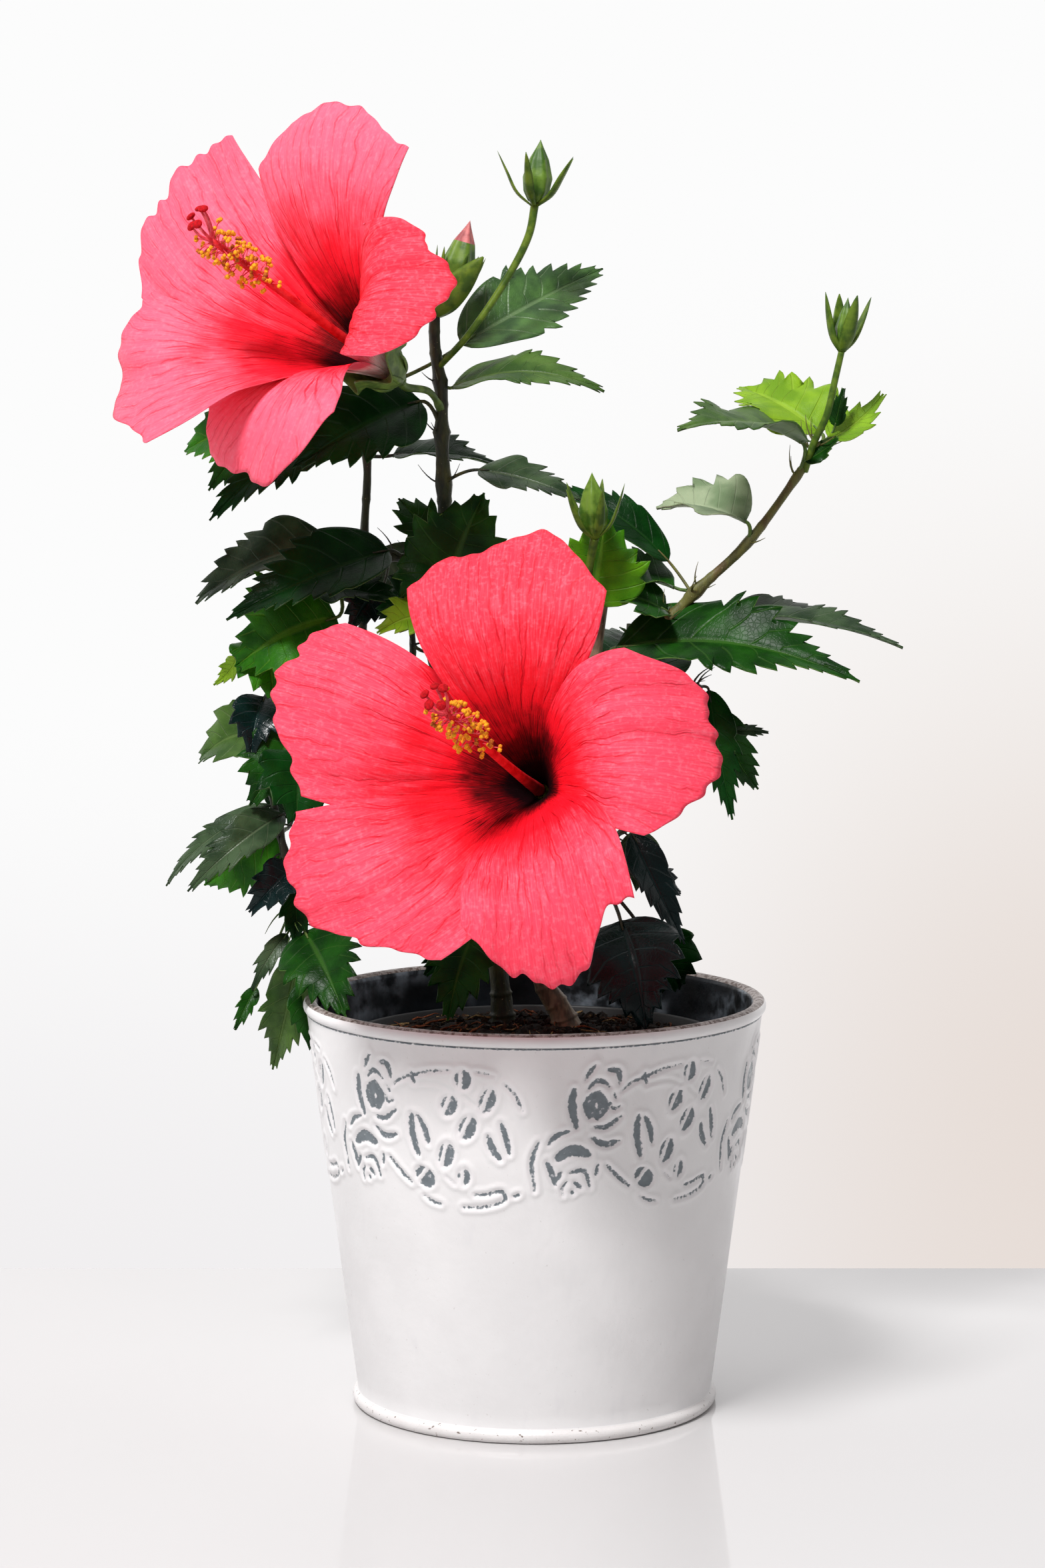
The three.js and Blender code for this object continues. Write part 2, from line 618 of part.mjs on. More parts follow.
const BUDS = {
  tall_bud: {
    carrier: 'tall_shoot_foliage', thick: [2.2, 2.8],
    stalk: [[-33, 8, 359], [-22, -1, 370], [-9, 0, 389], [-2, 0, 403], [0, 0, 413]],
    tip: [2, 0, 435], width: 9, bracts: 6, bractLength: 17, bractSpread: 10,
  },
  pink_bud: {
    carrier: 'tall_shoot_foliage', thick: [3, 3],
    stalk: [[-34, 8, 379], [-31, 8, 383]],
    tip: [-22, 8, 408], width: 10, bracts: 6, bractLength: 15, bractSpread: 8,
  },
  right_bud: {
    carrier: 'right_shoot_foliage', thick: [2.6, 2.2],
    stalk: [[92, 0, 325], [95, -3, 333], [99, -5, 342], [102, -5, 355], [104, -5, 364]],
    tip: [106, -5, 382], width: 9, bracts: 5, bractLength: 18, bractSpread: 8,
  },
  front_bud: {
    carrier: 'centre_foliage', thick: [2.6, 3],
    stalk: [[19, -14, 285], [18, -20, 288], [20, -29, 302]],
    tip: [19, -32, 324], width: 9.5, bracts: 6, bractLength: 18, bractSpread: 9,
  },
};

// Petals are [azimuth from the right, reach, rise of the tip ahead of the throat, width].
const BLOOMS = {
  lower_bloom: {
    throat: [-4.6, -80, 227.3], axis: [-0.3, -0.895, 0.33], reflex: 5,
    columnAxis: [-0.39, -0.785, 0.482], columnLength: 62,
    petals: [[8, 69, 20, 62], [88, 74, 20, 64], [157, 78, 20, 58], [217, 74, 20, 66], [288, 72, 20, 58]],
    carrier: 'woody_stem', stalk: [[6, 0, 186], [8, -22, 200], [8, -42, 210]],
  },
  upper_bloom: {
    throat: [-65.4, -30, 368.3], axis: [-0.59, -0.64, 0.49], reflex: 0,
    columnAxis: [-0.62, -0.5, 0.61], columnLength: 62,
    petals: [[16, 64, 24, 56], [92, 72, 30, 62], [153, 75, 34, 64], [214, 70, 34, 62], [278, 64, 24, 58]],
    carrier: 'tall_shoot_foliage', stalk: [[-32, 9, 344], [-36, 2, 350], [-44, -8, 352]],
  },
};

function build() {
  const group = new THREE.Group();
  const solids = {};
  const keep = (name, shape, look) => {
    solids[name] = shape;
    group.add(node(name, shape, look));
  };
  // A carrier with the clearance round it, to cut the foot of what it carries.
  const grown = {};
  const block = new THREE.BoxGeometry(3 * SOIL_CROWN_RADIUS, 2 * SOIL_CROWN_RADIUS, 20);
  const ground = solid(block.translate(0, 0, SOIL_TOP + GAP - 10));

  keep('pot', pot(), ZINC);
  keep('liner_pot', liner(), LINER);
  keep('potting_soil', soil(), SOIL);

  for (const [name, { points, thick, flare, steps, leaves, look = BARK }] of Object.entries(LIMBS)) {
    const path = points.map(vector);
    grown[name] = limb(path, thick, { flare, steps, grow: GAP });
    const shape = limb(path, thick, { flare, steps });
    keep(name, largest(shape.subtract(leaves ? grown[leaves] : ground)), look);
  }
  for (const [name, { stem, thick }] of Object.entries(FOLIAGE)) {
    const path = stem.map(vector);
    grown[name] = limb(path, thick, { sides: TWIG_SIDES, steps: twigSteps(path), grow: GAP });
  }
  for (const [name, bloom] of Object.entries(BLOOMS)) {
    keep(`${name}_petals`, petals(bloom), PETAL);
    keep(`${name}_column`, column(bloom), COLUMN);
    keep(`${name}_calyx`, calyx(bloom, grown[bloom.carrier]), BUD);
  }
  for (const [name, row] of Object.entries(BUDS)) {
    keep(name, bud(row, grown[row.carrier]), BUD);
  }
  for (const [name, row] of Object.entries(FOLIAGE)) {
    const neighbours = Object.keys(solids)
      .filter((other) => other !== row.carrier)
      .map((other) => solids[other]);
    keep(name, foliage(row, neighbours, grown[row.carrier]), row.look);
  }
  return group;
}

export default build();
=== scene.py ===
# %% [markdown]
# # A hibiscus in an embossed zinc pot
#
# This lesson dresses the frame of a potted hibiscus. The frame holds the plain solids of the pot, the
# stems, the masses of foliage, the blooms and the buds, each at its true place. Here every one of them
# gets its looks: toothed leaves with veins, ruffled petals, bark, and whitewashed zinc with a band of
# roses. The frame is loaded first, because every later piece is placed by it.

# %% Load the frame
import math
import random

import bmesh
import bpy
import numpy as np
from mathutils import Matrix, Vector


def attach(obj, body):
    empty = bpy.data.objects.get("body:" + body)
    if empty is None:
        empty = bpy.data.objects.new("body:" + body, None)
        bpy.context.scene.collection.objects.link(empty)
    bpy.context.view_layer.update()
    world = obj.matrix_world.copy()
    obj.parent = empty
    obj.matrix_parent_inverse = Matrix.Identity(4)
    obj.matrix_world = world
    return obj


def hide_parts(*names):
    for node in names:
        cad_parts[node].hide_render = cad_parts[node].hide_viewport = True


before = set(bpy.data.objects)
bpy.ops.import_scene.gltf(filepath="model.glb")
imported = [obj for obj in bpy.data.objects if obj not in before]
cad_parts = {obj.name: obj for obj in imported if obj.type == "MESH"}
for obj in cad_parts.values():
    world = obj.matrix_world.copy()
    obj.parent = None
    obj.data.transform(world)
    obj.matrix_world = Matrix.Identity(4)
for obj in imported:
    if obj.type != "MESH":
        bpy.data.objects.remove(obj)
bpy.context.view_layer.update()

# %% [markdown]
# ## Units and directions
#
# A gardener measures this plant in millimetres, so all sizes below are millimetres, and each finished
# piece is scaled to metres once, at the end. Z points up, X to the right, and the front of the plant
# looks towards -Y. Directions are kept as NumPy arrays, because thousands of points are moved at a time.

# %% Millimetres and the three directions
MM = 0.001
UP = np.array([0.0, 0.0, 1.0])
FRONT = np.array([0.0, -1.0, 0.0])
RIGHT = np.array([1.0, 0.0, 0.0])


def unit(vector):
    """The direction of a vector, or of each row of a table of vectors."""
    vector = np.asarray(vector, float)
    return vector / np.linalg.norm(vector, axis=-1, keepdims=True)


def square_to(direction, axis):
    """The part of a direction that is square to an axis, as a unit vector."""
    return unit(direction - axis * np.dot(direction, axis))


print("one millimetre is", MM, "of Blender's metres")

# %% [markdown]
# ## Camera
#
# The camera stands a metre and a half in front of the plant, a little above its middle, and looks
# slightly down, so that the soil shows behind the rim. A long lens keeps the pot's sides nearly
# straight. Blender fits the sensor's 36 mm to the longer side of the picture.

# %% The camera in front of the plant
LENS = 97.73
CAMERA_PLACE = (-4.17, -1454.24, 381.9)
CAMERA_PITCH = 6.52                   # degrees down from level

camera = bpy.data.objects.new("camera", bpy.data.cameras.new("camera"))
bpy.context.scene.collection.objects.link(camera)
bpy.context.scene.camera = camera
camera.data.lens = LENS
camera.location = tuple(number * MM for number in CAMERA_PLACE)
camera.rotation_euler = (math.radians(90 - CAMERA_PITCH), 0, 0)
print("camera:", camera.data.lens, "mm lens at", tuple(camera.location))

# %% [markdown]
# ## Table and lights
#
# The plant stands on a glossy white table that ends just behind it. A slab with bevelled edges is
# enough. Two square lamps light it: a strong one from the upper left, whose shadows have soft edges, and
# a weak, wide one from the front. The rest of the light comes from bright surroundings, further down.

# %% Table slab
TABLE_BACK = 200
TABLE_DEPTH = 2600
TABLE_WIDTH = 4000
TABLE_THICKNESS = 20
TABLE_EDGE = 1.5

slab = bmesh.new()
bmesh.ops.create_cube(slab, size=1)
bmesh.ops.scale(slab, vec=(TABLE_WIDTH * MM, TABLE_DEPTH * MM, TABLE_THICKNESS * MM), verts=slab.verts)
bmesh.ops.translate(
    slab, vec=(0, (TABLE_BACK - TABLE_DEPTH / 2) * MM, -TABLE_THICKNESS / 2 * MM), verts=slab.verts)
bmesh.ops.bevel(slab, geom=slab.edges, offset=TABLE_EDGE * MM, segments=3, profile=0.5, affect="EDGES",
                material=-1)
table = bpy.data.objects.new("table", bpy.data.meshes.new("table"))
slab.to_mesh(table.data)
slab.free()
bpy.context.scene.collection.objects.link(table)
print("table top:", TABLE_WIDTH, "by", TABLE_DEPTH, "mm")

# %% Lamps
def soft_lamp(name, place, aim, width, watts):
    """A square lamp at a place, turned towards the point that it aims at. Lengths are in metres."""
    lamp = bpy.data.objects.new(name, bpy.data.lights.new(name, "AREA"))
    bpy.context.scene.collection.objects.link(lamp)
    lamp.data.size = width
    lamp.data.energy = watts
    lamp.location = place
    away = unit(np.array(place) - np.array(aim))
    lamp.rotation_euler = (math.acos(away[2]), 0, math.atan2(away[0], -away[1]))
    print(name, watts, "W, aimed at", aim)


soft_lamp("key_lamp", (-0.5, -1.1, 1.68), (0, 0, 0.2), 0.36, 42)
soft_lamp("fill_lamp", (-0.6, -1.9, 0.5), (0, 0, 0.25), 1.4, 1)

# %% [markdown]
# ## Colours and finishes
#
# Paint charts give red, green and blue from 0 to 255, but shaders work with linear light, so a small
# function converts them. Every finish is procedural: it is made from noise, from distances, and from the
# leaf's or petal's own map. The class below only shortens the writing of node trees.

# %% Paint chart to linear light
def tint(red, green, blue):
    """A paint chart colour as the linear colour that a shader takes."""
    shares = np.array([red, green, blue]) / 255
    linear = np.where(shares <= 0.04045, shares / 12.92, ((shares + 0.055) / 1.055) ** 2.4)
    return (*(float(share) for share in linear), 1.0)


print("petal pink in linear light:", tint(250, 95, 115))

# %% A short way to write finishes
class Finish:
    """A material with short names for its nodes. Numbers that never vary are set on the shader."""

    def __init__(self, name, roughness, **settings):
        self.material = bpy.data.materials.new(name)
        self.material.use_nodes = True
        self.tree = self.material.node_tree
        self.shader = self.tree.nodes["Principled BSDF"]
        self.shader.inputs["Roughness"].default_value = roughness
        for socket, value in settings.items():
            self.shader.inputs[socket.replace("_", " ")].default_value = value
        where = self.tree.nodes.new("ShaderNodeTexCoord")
        self.place = where.outputs["Object"]
        split = self.tree.nodes.new("ShaderNodeSeparateXYZ")
        self.map = where.outputs["UV"]
        self.feed(split.inputs[0], self.map)
        self.across, self.along = split.outputs[0], split.outputs[1]

    def feed(self, socket, value):
        if isinstance(value, bpy.types.NodeSocket):
            self.tree.links.new(value, socket)
        else:
            socket.default_value = value

    def sum(self, operation, *values):
        node = self.tree.nodes.new("ShaderNodeMath")
        node.operation = operation
        for socket, value in zip(node.inputs, values):
            self.feed(socket, value)
        return node.outputs[0]

    def fade(self, value, start, end, low=0.0, high=1.0):
        node = self.tree.nodes.new("ShaderNodeMapRange")
        node.interpolation_type = "SMOOTHSTEP"
        for socket, number in zip(node.inputs, (value, start, end, low, high)):
            self.feed(socket, number)
        return node.outputs[0]

    def noise(self, grain, detail=2.0, stretch=(1, 1, 1), on=None):
        """Soft noise whose blotches are about one grain wide, in millimetres, or on a piece's own map
        that many thousandths of it."""
        node = self.tree.nodes.new("ShaderNodeTexNoise")
        mapping = self.tree.nodes.new("ShaderNodeMapping")
        mapping.inputs["Scale"].default_value = stretch
        self.feed(mapping.inputs["Vector"], on or self.place)
        self.feed(node.inputs["Vector"], mapping.outputs[0])
        node.inputs["Scale"].default_value = 1 / (grain * MM)
        node.inputs["Detail"].default_value = detail
        return node.outputs[0]

    def cells(self, grain):
        """The distance to the nearest wall between cells of about one grain, in millimetres."""
        node = self.tree.nodes.new("ShaderNodeTexVoronoi")
        node.feature = "DISTANCE_TO_EDGE"
        self.feed(node.inputs["Vector"], self.place)
        node.inputs["Scale"].default_value = 1 / (grain * MM)
        return node.outputs["Distance"]

    def mix(self, share, first, second):
        node = self.tree.nodes.new("ShaderNodeMix")
        node.data_type = "RGBA"
        self.feed(node.inputs[0], share)
        self.feed(node.inputs[6], first)
        self.feed(node.inputs[7], second)
        return node.outputs[2]

    def attribute(self, name):
        node = self.tree.nodes.new("ShaderNodeAttribute")
        node.attribute_name = name
        return node.outputs["Fac"]

    def colour(self, value):
        self.feed(self.shader.inputs["Base Color"], value)

    def gloss(self, value):
        self.feed(self.shader.inputs["Roughness"], value)

    def relief(self, height, depth):
        """Bumps of a height from 0 to 1, as deep as depth in millimetres."""
        node = self.tree.nodes.new("ShaderNodeBump")
        node.inputs["Distance"].default_value = depth * MM
        self.feed(node.inputs["Height"], height)
        self.feed(self.shader.inputs["Normal"], node.outputs[0])


print("finishes are built from", len(dir(Finish)) - len(dir(object)), "short calls")

# %% Table finish
def table_finish():
    """White lacquer, polished, with the faintest cloudiness."""
    lacquer = Finish("white_lacquer", 0.06, Specular_IOR_Level=0.5)
    lacquer.colour(lacquer.mix(lacquer.noise(180), tint(200, 198, 198), tint(205, 203, 203)))
    return lacquer.material


table.data.materials.append(table_finish())
print("the table is finished in", table.data.materials[0].name)

# %% [markdown]
# ## Bright surroundings
#
# A studio hangs white paper behind a plant and keeps the room dim. Blender's World can play both parts:
# rays from the camera see an almost white backdrop, with the plant's shadow painted on it in a warm grey
# low on the right, and all other rays see a sky that only gives light.
# That sky is brightest behind the plant and low down, where the polished table mirrors it. It is weaker
# in front and on the right, so the shadows keep their depth.

# %% Strengths and colours of the surroundings
BACKDROP = tint(252, 252, 252)
BACKDROP_LOW = tint(241, 239, 240)
# Painted shadow: the warm grey of the plant's shadow on the backdrop, low on the right.
BACKDROP_SHADOW = tint(231, 221, 215)
SKY_BEHIND = 0.82
SKY_IN_FRONT = 0.27
SKY_ON_THE_RIGHT = 0.7
HORIZON_GLOW = 1.6

world = bpy.data.worlds.new("bright_room")
bpy.context.scene.world = world
world.use_nodes = True
bpy.context.scene.view_settings.view_transform = "Standard"
room = world.node_tree
gaze = room.nodes.new("ShaderNodeSeparateXYZ")
room.links.new(room.nodes.new("ShaderNodeTexCoord").outputs["Generated"], gaze.inputs[0])
print("the light is strongest behind:", SKY_BEHIND, "against", SKY_IN_FRONT, "in front")

# %% Short calls for the sky
def sky_fade(value, start, end, low=0.0, high=1.0):
    node = room.nodes.new("ShaderNodeMapRange")
    node.interpolation_type = "SMOOTHSTEP"
    room.links.new(value, node.inputs[0])
    for socket, number in zip(list(node.inputs)[1:], (start, end, low, high)):
        socket.default_value = number
    return node.outputs[0]


def sky_product(first, second):
    node = room.nodes.new("ShaderNodeMath")
    node.operation = "MULTIPLY"
    room.links.new(first, node.inputs[0])
    room.links.new(second, node.inputs[1])
    return node.outputs[0]


def sky_mix(share, first, second):
    node = room.nodes.new("ShaderNodeMix")
    node.data_type = "RGBA"
    for socket, value in zip((node.inputs[0], node.inputs[6], node.inputs[7]), (share, first, second)):
        if isinstance(value, bpy.types.NodeSocket):
            room.links.new(value, socket)
        else:
            socket.default_value = value
    return node.outputs[2]


print("the sky has its own fade, product and mix")

# %% Sky as a light, and as a backdrop
light_sky = room.nodes["Background"]
light_sky.inputs["Color"].default_value = (1, 0.985, 0.99, 1)
depth_light = sky_fade(gaze.outputs[1], -0.35, 0.25, SKY_IN_FRONT, SKY_BEHIND)
side_light = sky_fade(gaze.outputs[0], 0.15, 0.95, 1.0, SKY_ON_THE_RIGHT)
low_light = sky_fade(gaze.outputs[2], 0.35, 0.16, 1.0, HORIZON_GLOW)
sky_strength = sky_product(sky_product(depth_light, side_light), low_light)
room.links.new(sky_strength, light_sky.inputs["Strength"])

seen_sky = room.nodes.new("ShaderNodeBackground")
lowness = sky_fade(gaze.outputs[2], -0.09, -0.23)
# Painted shadow: low on the right, the backdrop that the camera sees turns to that warm grey.
shadow_on_backdrop = sky_product(sky_fade(gaze.outputs[0], -0.02, 0.13), sky_fade(gaze.outputs[2], 0.02, -0.2))
seen_colour = sky_mix(shadow_on_backdrop, sky_mix(lowness, BACKDROP, BACKDROP_LOW), BACKDROP_SHADOW)
room.links.new(seen_colour, seen_sky.inputs["Color"])
blend = room.nodes.new("ShaderNodeMixShader")
room.links.new(room.nodes.new("ShaderNodeLightPath").outputs["Is Camera Ray"], blend.inputs[0])
room.links.new(light_sky.outputs[0], blend.inputs[1])
room.links.new(seen_sky.outputs[0], blend.inputs[2])
room.links.new(blend.outputs[0], room.nodes["World Output"].inputs["Surface"])
print("sky as a light:", SKY_IN_FRONT, "to", SKY_BEHIND, "and as a backdrop:", BACKDROP[:3])

# %% [markdown]
# ## From a grid to a shape
#
# Leaves, petals, stems and buds all start as the same thing: a flat grid from `create_grid`, whose
# points are then moved by a rule. The rule gets two numbers for each point: how far across it is, from
# -1 to 1, and how far along, from 0 to 1. The grid also brings a map with the same two numbers, which the
# finishes use to draw veins. A tube is a grid rolled up, with its seam and its two ends merged, so that
# it is closed.

# %% Grid and closed grid
def new_form():
    form = bmesh.new()
    form.loops.layers.uv.new("UVMap")
    return form


def shaped_grid(form, columns, rows, rule, look=0):
    """Adds a grid whose points go where the rule puts them, and returns its points."""
    points = bmesh.ops.create_grid(form, x_segments=columns, y_segments=rows, size=1, calc_uvs=True)["verts"]
    flat = np.array([point.co[:2] for point in points])
    for point, place in zip(points, rule(flat[:, 0], (flat[:, 1] + 1) / 2)):
        point.co = place
    for face in {face for point in points for face in point.link_faces}:
        face.material_index = look
        face.smooth = True
    return points


def closed_grid(form, columns, rows, rule, look=0):
    """The same, for a rule that rolls the grid into a closed body."""
    points = shaped_grid(form, columns, rows, rule, look)
    bmesh.ops.remove_doubles(form, verts=points, dist=1e-4)
    whole = [point for point in points if point.is_valid]
    faces = list({face for point in whole for face in point.link_faces})
    bmesh.ops.recalc_face_normals(form, faces=faces)
    return whole


print("a grid and a closed grid are ready")

# %% Finished piece
def finish_piece(name, form, finishes, stands_for=(), wall=0.0, under=0):
    """Turns a form in millimetres into a piece in metres that rides on the frame. A sheet gets a wall
    behind its face, whose finish is the one that many places later in the list."""
    bmesh.ops.scale(form, vec=(MM, MM, MM), verts=form.verts)
    piece = bpy.data.objects.new(name, bpy.data.meshes.new(name))
    form.to_mesh(piece.data)
    form.free()
    bpy.context.scene.collection.objects.link(piece)
    for material in finishes:
        piece.data.materials.append(material)
    if wall:
        shell = piece.modifiers.new("wall", "SOLIDIFY")
        shell.thickness = wall * MM
        shell.offset = -1
        shell.material_offset = under
        shell.material_offset_rim = under
    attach(piece, "root")
    if stands_for:
        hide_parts(*stands_for)
    triangles = sum(len(face.vertices) - 2 for face in piece.data.polygons) * (2 if wall else 1)
    print(f"{name}: {triangles} triangles")
    return piece


print("pieces hang on the frame's root")

# %% [markdown]
# ## Smooth paths and tubes
#
# A stem is drawn by a few points, and a smooth curve runs through them. The curve is a centripetal
# Catmull-Rom spline, the kind that never loops between its points. A tube follows it: at each step
# there is a heading and two directions square to it, carried along so that the tube doesn't twist.

# %% Smooth path
def smooth_path(points, places):
    """Points of the smooth curve at the given places, from 0 at its start to 1 at its end."""
    points = np.asarray(points, float)
    places = np.clip(np.atleast_1d(np.asarray(places, float)), 0, 1)
    knots = np.vstack([2 * points[0] - points[1], points, 2 * points[-1] - points[-2]])
    spans = len(points) - 1
    span = np.minimum((places * spans).astype(int), spans - 1)
    part = (places * spans - span)[:, None]
    before, start, end, after = (knots[span + step] for step in range(4))
    gap0, gap1, gap2 = (np.sqrt(np.linalg.norm(b - a, axis=1, keepdims=True))
                        for a, b in ((before, start), (start, end), (end, after)))
    leave = ((start - before) / gap0 - (end - before) / (gap0 + gap1) + (end - start) / gap1) * gap1
    arrive = ((end - start) / gap1 - (after - start) / (gap1 + gap2) + (after - end) / gap2) * gap1
    return (start + leave * part + (3 * (end - start) - 2 * leave - arrive) * part ** 2
            + (2 * (start - end) + leave + arrive) * part ** 3)


sample = smooth_path([(0, 0, 0), (0, 0, 10), (5, 0, 20)], [0, 0.5, 1])
print("the middle of a three-point path is its second point:", sample[1])

# %% Tube along a path
def carried_sides(route):
    """The heading at each step of a route, and two directions square to it that don't twist."""
    heading = unit(np.gradient(route, axis=0))
    side = np.cross(heading[0], RIGHT if abs(heading[0][1]) > 0.8 else FRONT)
    sides = []
    for ahead in heading:
        side = square_to(side, ahead)
        sides.append(side)
    sides = np.array(sides)
    return heading, sides, np.cross(sides, heading)


def tube(form, route, radii, sides, look=0, relief=None):
    """A closed tube along a route. The relief, if any, gives the share by which each point stands out."""
    route = np.asarray(route, float)
    _, side, other = carried_sides(route)
    rows = len(route) + 1

    def rule(across, along):
        row = np.rint(along * rows).astype(int)
        step = np.clip(row - 1, 0, len(route) - 1)
        open_row = (row > 0) & (row < rows)
        radius = np.asarray(radii)[step] * open_row
        if relief is not None:
            radius = radius * (1 + relief(across, step / (len(route) - 1)))
        turn = math.pi * across
        return (route[step] + side[step] * (radius * np.cos(turn))[:, None]
                + other[step] * (radius * np.sin(turn))[:, None])

    return closed_grid(form, sides, rows, rule, look)


print("a tube sets off in the direction of its path:", carried_sides(sample)[0][0])

# %% [markdown]
# ## Pot
#
# The pot is one turned shell of thin zinc: a bead at its foot, a straight tapering wall, a rolled rim and
# the wall again inside. Only its outline is drawn, with the bead and the roll as arcs, and `spin` turns
# it. The stretch that carries the ornament is subdivided finely first, so that it can be embossed.

# %% Pot sizes and outline
POT_HEIGHT = 142
RIM_RADIUS = 80
RIM_ROLL = 2.5
WALL = 1.1
BEAD_RADIUS = 63.4
BEAD_HEIGHT = 4.6
WALL_FOOT = (61.6, 5.2)
FLOOR_TOP = 1.5
BAND_LOW, BAND_HIGH = 78, 134
BAND_ROWS = 80
RIM_LINE, RIM_LINE_TOP = 136.9, 137.6
POT_STEPS = 720


def arc(centre, radius, start, end, steps):
    angles = np.radians(np.linspace(start, end, steps + 1))
    return [(centre[0] + radius * math.cos(angle), centre[1] + radius * math.sin(angle)) for angle in angles]


ROLL_CENTRE = (RIM_RADIUS - RIM_ROLL, POT_HEIGHT - RIM_ROLL)
WALL_TOP = arc(ROLL_CENTRE, RIM_ROLL, -60, -60, 1)[0]


def wall_radius(height):
    """The outer radius of the plain wall at a height."""
    share = (height - WALL_FOOT[1]) / (WALL_TOP[1] - WALL_FOOT[1])
    return WALL_FOOT[0] + share * (WALL_TOP[0] - WALL_FOOT[0])


def turned(form, outline, steps, fine=()):
    """Turns an outline round Z. Each fine entry is a span of the outline and its number of cuts."""
    points = [form.verts.new((radius, 0, height)) for radius, height in outline]
    edges = [form.edges.new(pair) for pair in zip(points, points[1:])]
    for span, cuts in fine:
        bmesh.ops.subdivide_edges(form, edges=[edges[span]], cuts=cuts)
    bmesh.ops.spin(form, geom=form.verts[:] + form.edges[:], axis=(0, 0, 1), cent=(0, 0, 0),
                   steps=steps, angle=2 * math.pi, use_merge=True)
    bmesh.ops.remove_doubles(form, verts=form.verts, dist=1e-4)
    bmesh.ops.recalc_face_normals(form, faces=form.faces)
    for face in form.faces:
        face.smooth = True


bead_centre = (BEAD_RADIUS - BEAD_HEIGHT / 2, BEAD_HEIGHT / 2)
pot_outline = [
    (0, 0), *arc(bead_centre, BEAD_HEIGHT / 2, -90, 62, 9),
    (WALL_FOOT[0] + 0.15, BEAD_HEIGHT + 0.2), WALL_FOOT,
    (wall_radius(30), 30), (wall_radius(BAND_LOW), BAND_LOW), (wall_radius(BAND_HIGH), BAND_HIGH),
    (wall_radius(RIM_LINE), RIM_LINE), (wall_radius(RIM_LINE_TOP), RIM_LINE_TOP),
    *arc(ROLL_CENTRE, RIM_ROLL, -60, 180, 14), (ROLL_CENTRE[0] - RIM_ROLL, ROLL_CENTRE[1] - RIM_ROLL),
    (WALL_FOOT[0] - WALL, FLOOR_TOP), (0, FLOOR_TOP),
]
band_span = pot_outline.index((wall_radius(BAND_LOW), BAND_LOW))
pot_form = bmesh.new()
turned(pot_form, pot_outline, POT_STEPS, [(band_span, BAND_ROWS), (band_span - 1, 8), (band_span - 2, 4)])
print("pot:", len(pot_form.verts), "points, wall", round(wall_radius(BAND_LOW), 1), "mm out under the band")

# %% [markdown]
# ## Band of roses
#
# The ornament is pressed into the wall and repeats six times round it: two roses, a long stem that
# arches over split berries, and paired leaves. Each mark is a brush stroke, drawn as discs along a
# smooth path. The distance to the nearest disc does two jobs: it sinks the inside of a mark and raises
# a lip round it, and it is stored on the mesh, where the finish turns it into crisp paint edges.
#
# Along the band, a place is the length round the wall and the height, both in millimetres.

# %% Strokes of one repeat
REPEATS = 6
BAND_RADIUS = 74
FIRST_ROSE = 15.4                     # degrees from the front to the first rose, towards the right
REPEAT_LENGTH = 2 * math.pi * BAND_RADIUS / REPEATS

# Each stroke: its thickness in the middle, at its ends, and the places that it runs through.
ROSE_HIGH = [
    (4.6, 3.6, [(-1.7, 114.5), (-2.4, 118.2), (0.4, 121.2)]),
    (4.2, 3.2, [(0.6, 121.0), (2.4, 117.4), (0.6, 113.8)]),
    (2.0, 0.8, [(-3.8, 126.4), (-2.4, 129.2), (-0.4, 131.6)]),
    (2.6, 1.2, [(3.6, 129.5), (6.7, 128.9), (7.7, 124.4)]),
    (2.2, 0.8, [(-3.0, 123.2), (0.5, 126.1), (4.4, 123.6)]),
    (3.2, 1.6, [(-7.4, 123.4), (-8.0, 117.5), (-6.3, 110.3)]),
    (1.8, 1.2, [(6.2, 121.2), (6.6, 119.6)]), (1.6, 0.9, [(4.7, 118.3), (5.9, 116.0), (8.2, 116.7)]),
    (2.2, 0.8, [(-0.9, 110.2), (3.7, 110.1), (8.9, 113.6)]),
    (2.6, 0.8, [(-1.6, 106.8), (3.4, 104.0), (8.5, 105.0)]),
]
ROSE_LOW = [
    (4.4, 2.4, [(-12.6, 99.8), (-7.3, 102.4), (-2.0, 100.9)]),
    (2.2, 1.0, [(-15.6, 104.5), (-13.2, 107.3), (-8.4, 109.2)]),
    (2.6, 1.0, [(-16.1, 98.8), (-14.3, 94.7), (-13.2, 90.6)]), (2.0, 1.2, [(-11.2, 94.8), (-13.2, 91.6)]),
    (2.0, 1.0, [(-8.2, 94.6), (-3.7, 95.3), (-1.1, 89.4)]),
    (1.4, 0.7, [(-9.2, 91.6), (-10.7, 89.4), (-10.3, 86.8)]),
    (1.8, 1.0, [(-6.7, 91.5), (-4.2, 89.2)]), (1.9, 1.8, [(-7.2, 88.1), (-7.1, 88.0)]),
    (1.7, 1.0, [(1.4, 97.2), (0.6, 93.7)]), (2.0, 1.0, [(-18.7, 105.4), (-21.0, 98.8), (-20.0, 88.6)]),
]
STEMS = [
    (1.6, 1.0, [(8.3, 122.1), (12.4, 124.9), (16.4, 126.2), (23.2, 128.3), (30.2, 129.1)]),
    (1.8, 1.2, [(16.3, 127.5), (17.1, 123.6)]), (1.5, 0.7, [(48.0, 125.2), (51.4, 121.2), (53.6, 116.0)]),
    (1.0, 0.5, [(38.7, 129.1), (44.3, 127.9)]), (1.8, 1.2, [(4.2, 96.9), (8.8, 92.4), (13.0, 89.0)]),
    (1.4, 0.8, [(17.7, 85.0), (20.9, 83.3), (24.4, 82.5)]),
    (1.7, 1.4, [(32.8, 82.1), (40.8, 82.8), (47.3, 85.6), (46.2, 88.2), (41.0, 87.0), (37.0, 86.6)]),
    (1.4, 1.0, [(50.4, 86.6), (52.1, 87.4)]), (0.8, 0.5, [(26.9, 92.3), (29.9, 89.7)]),
]
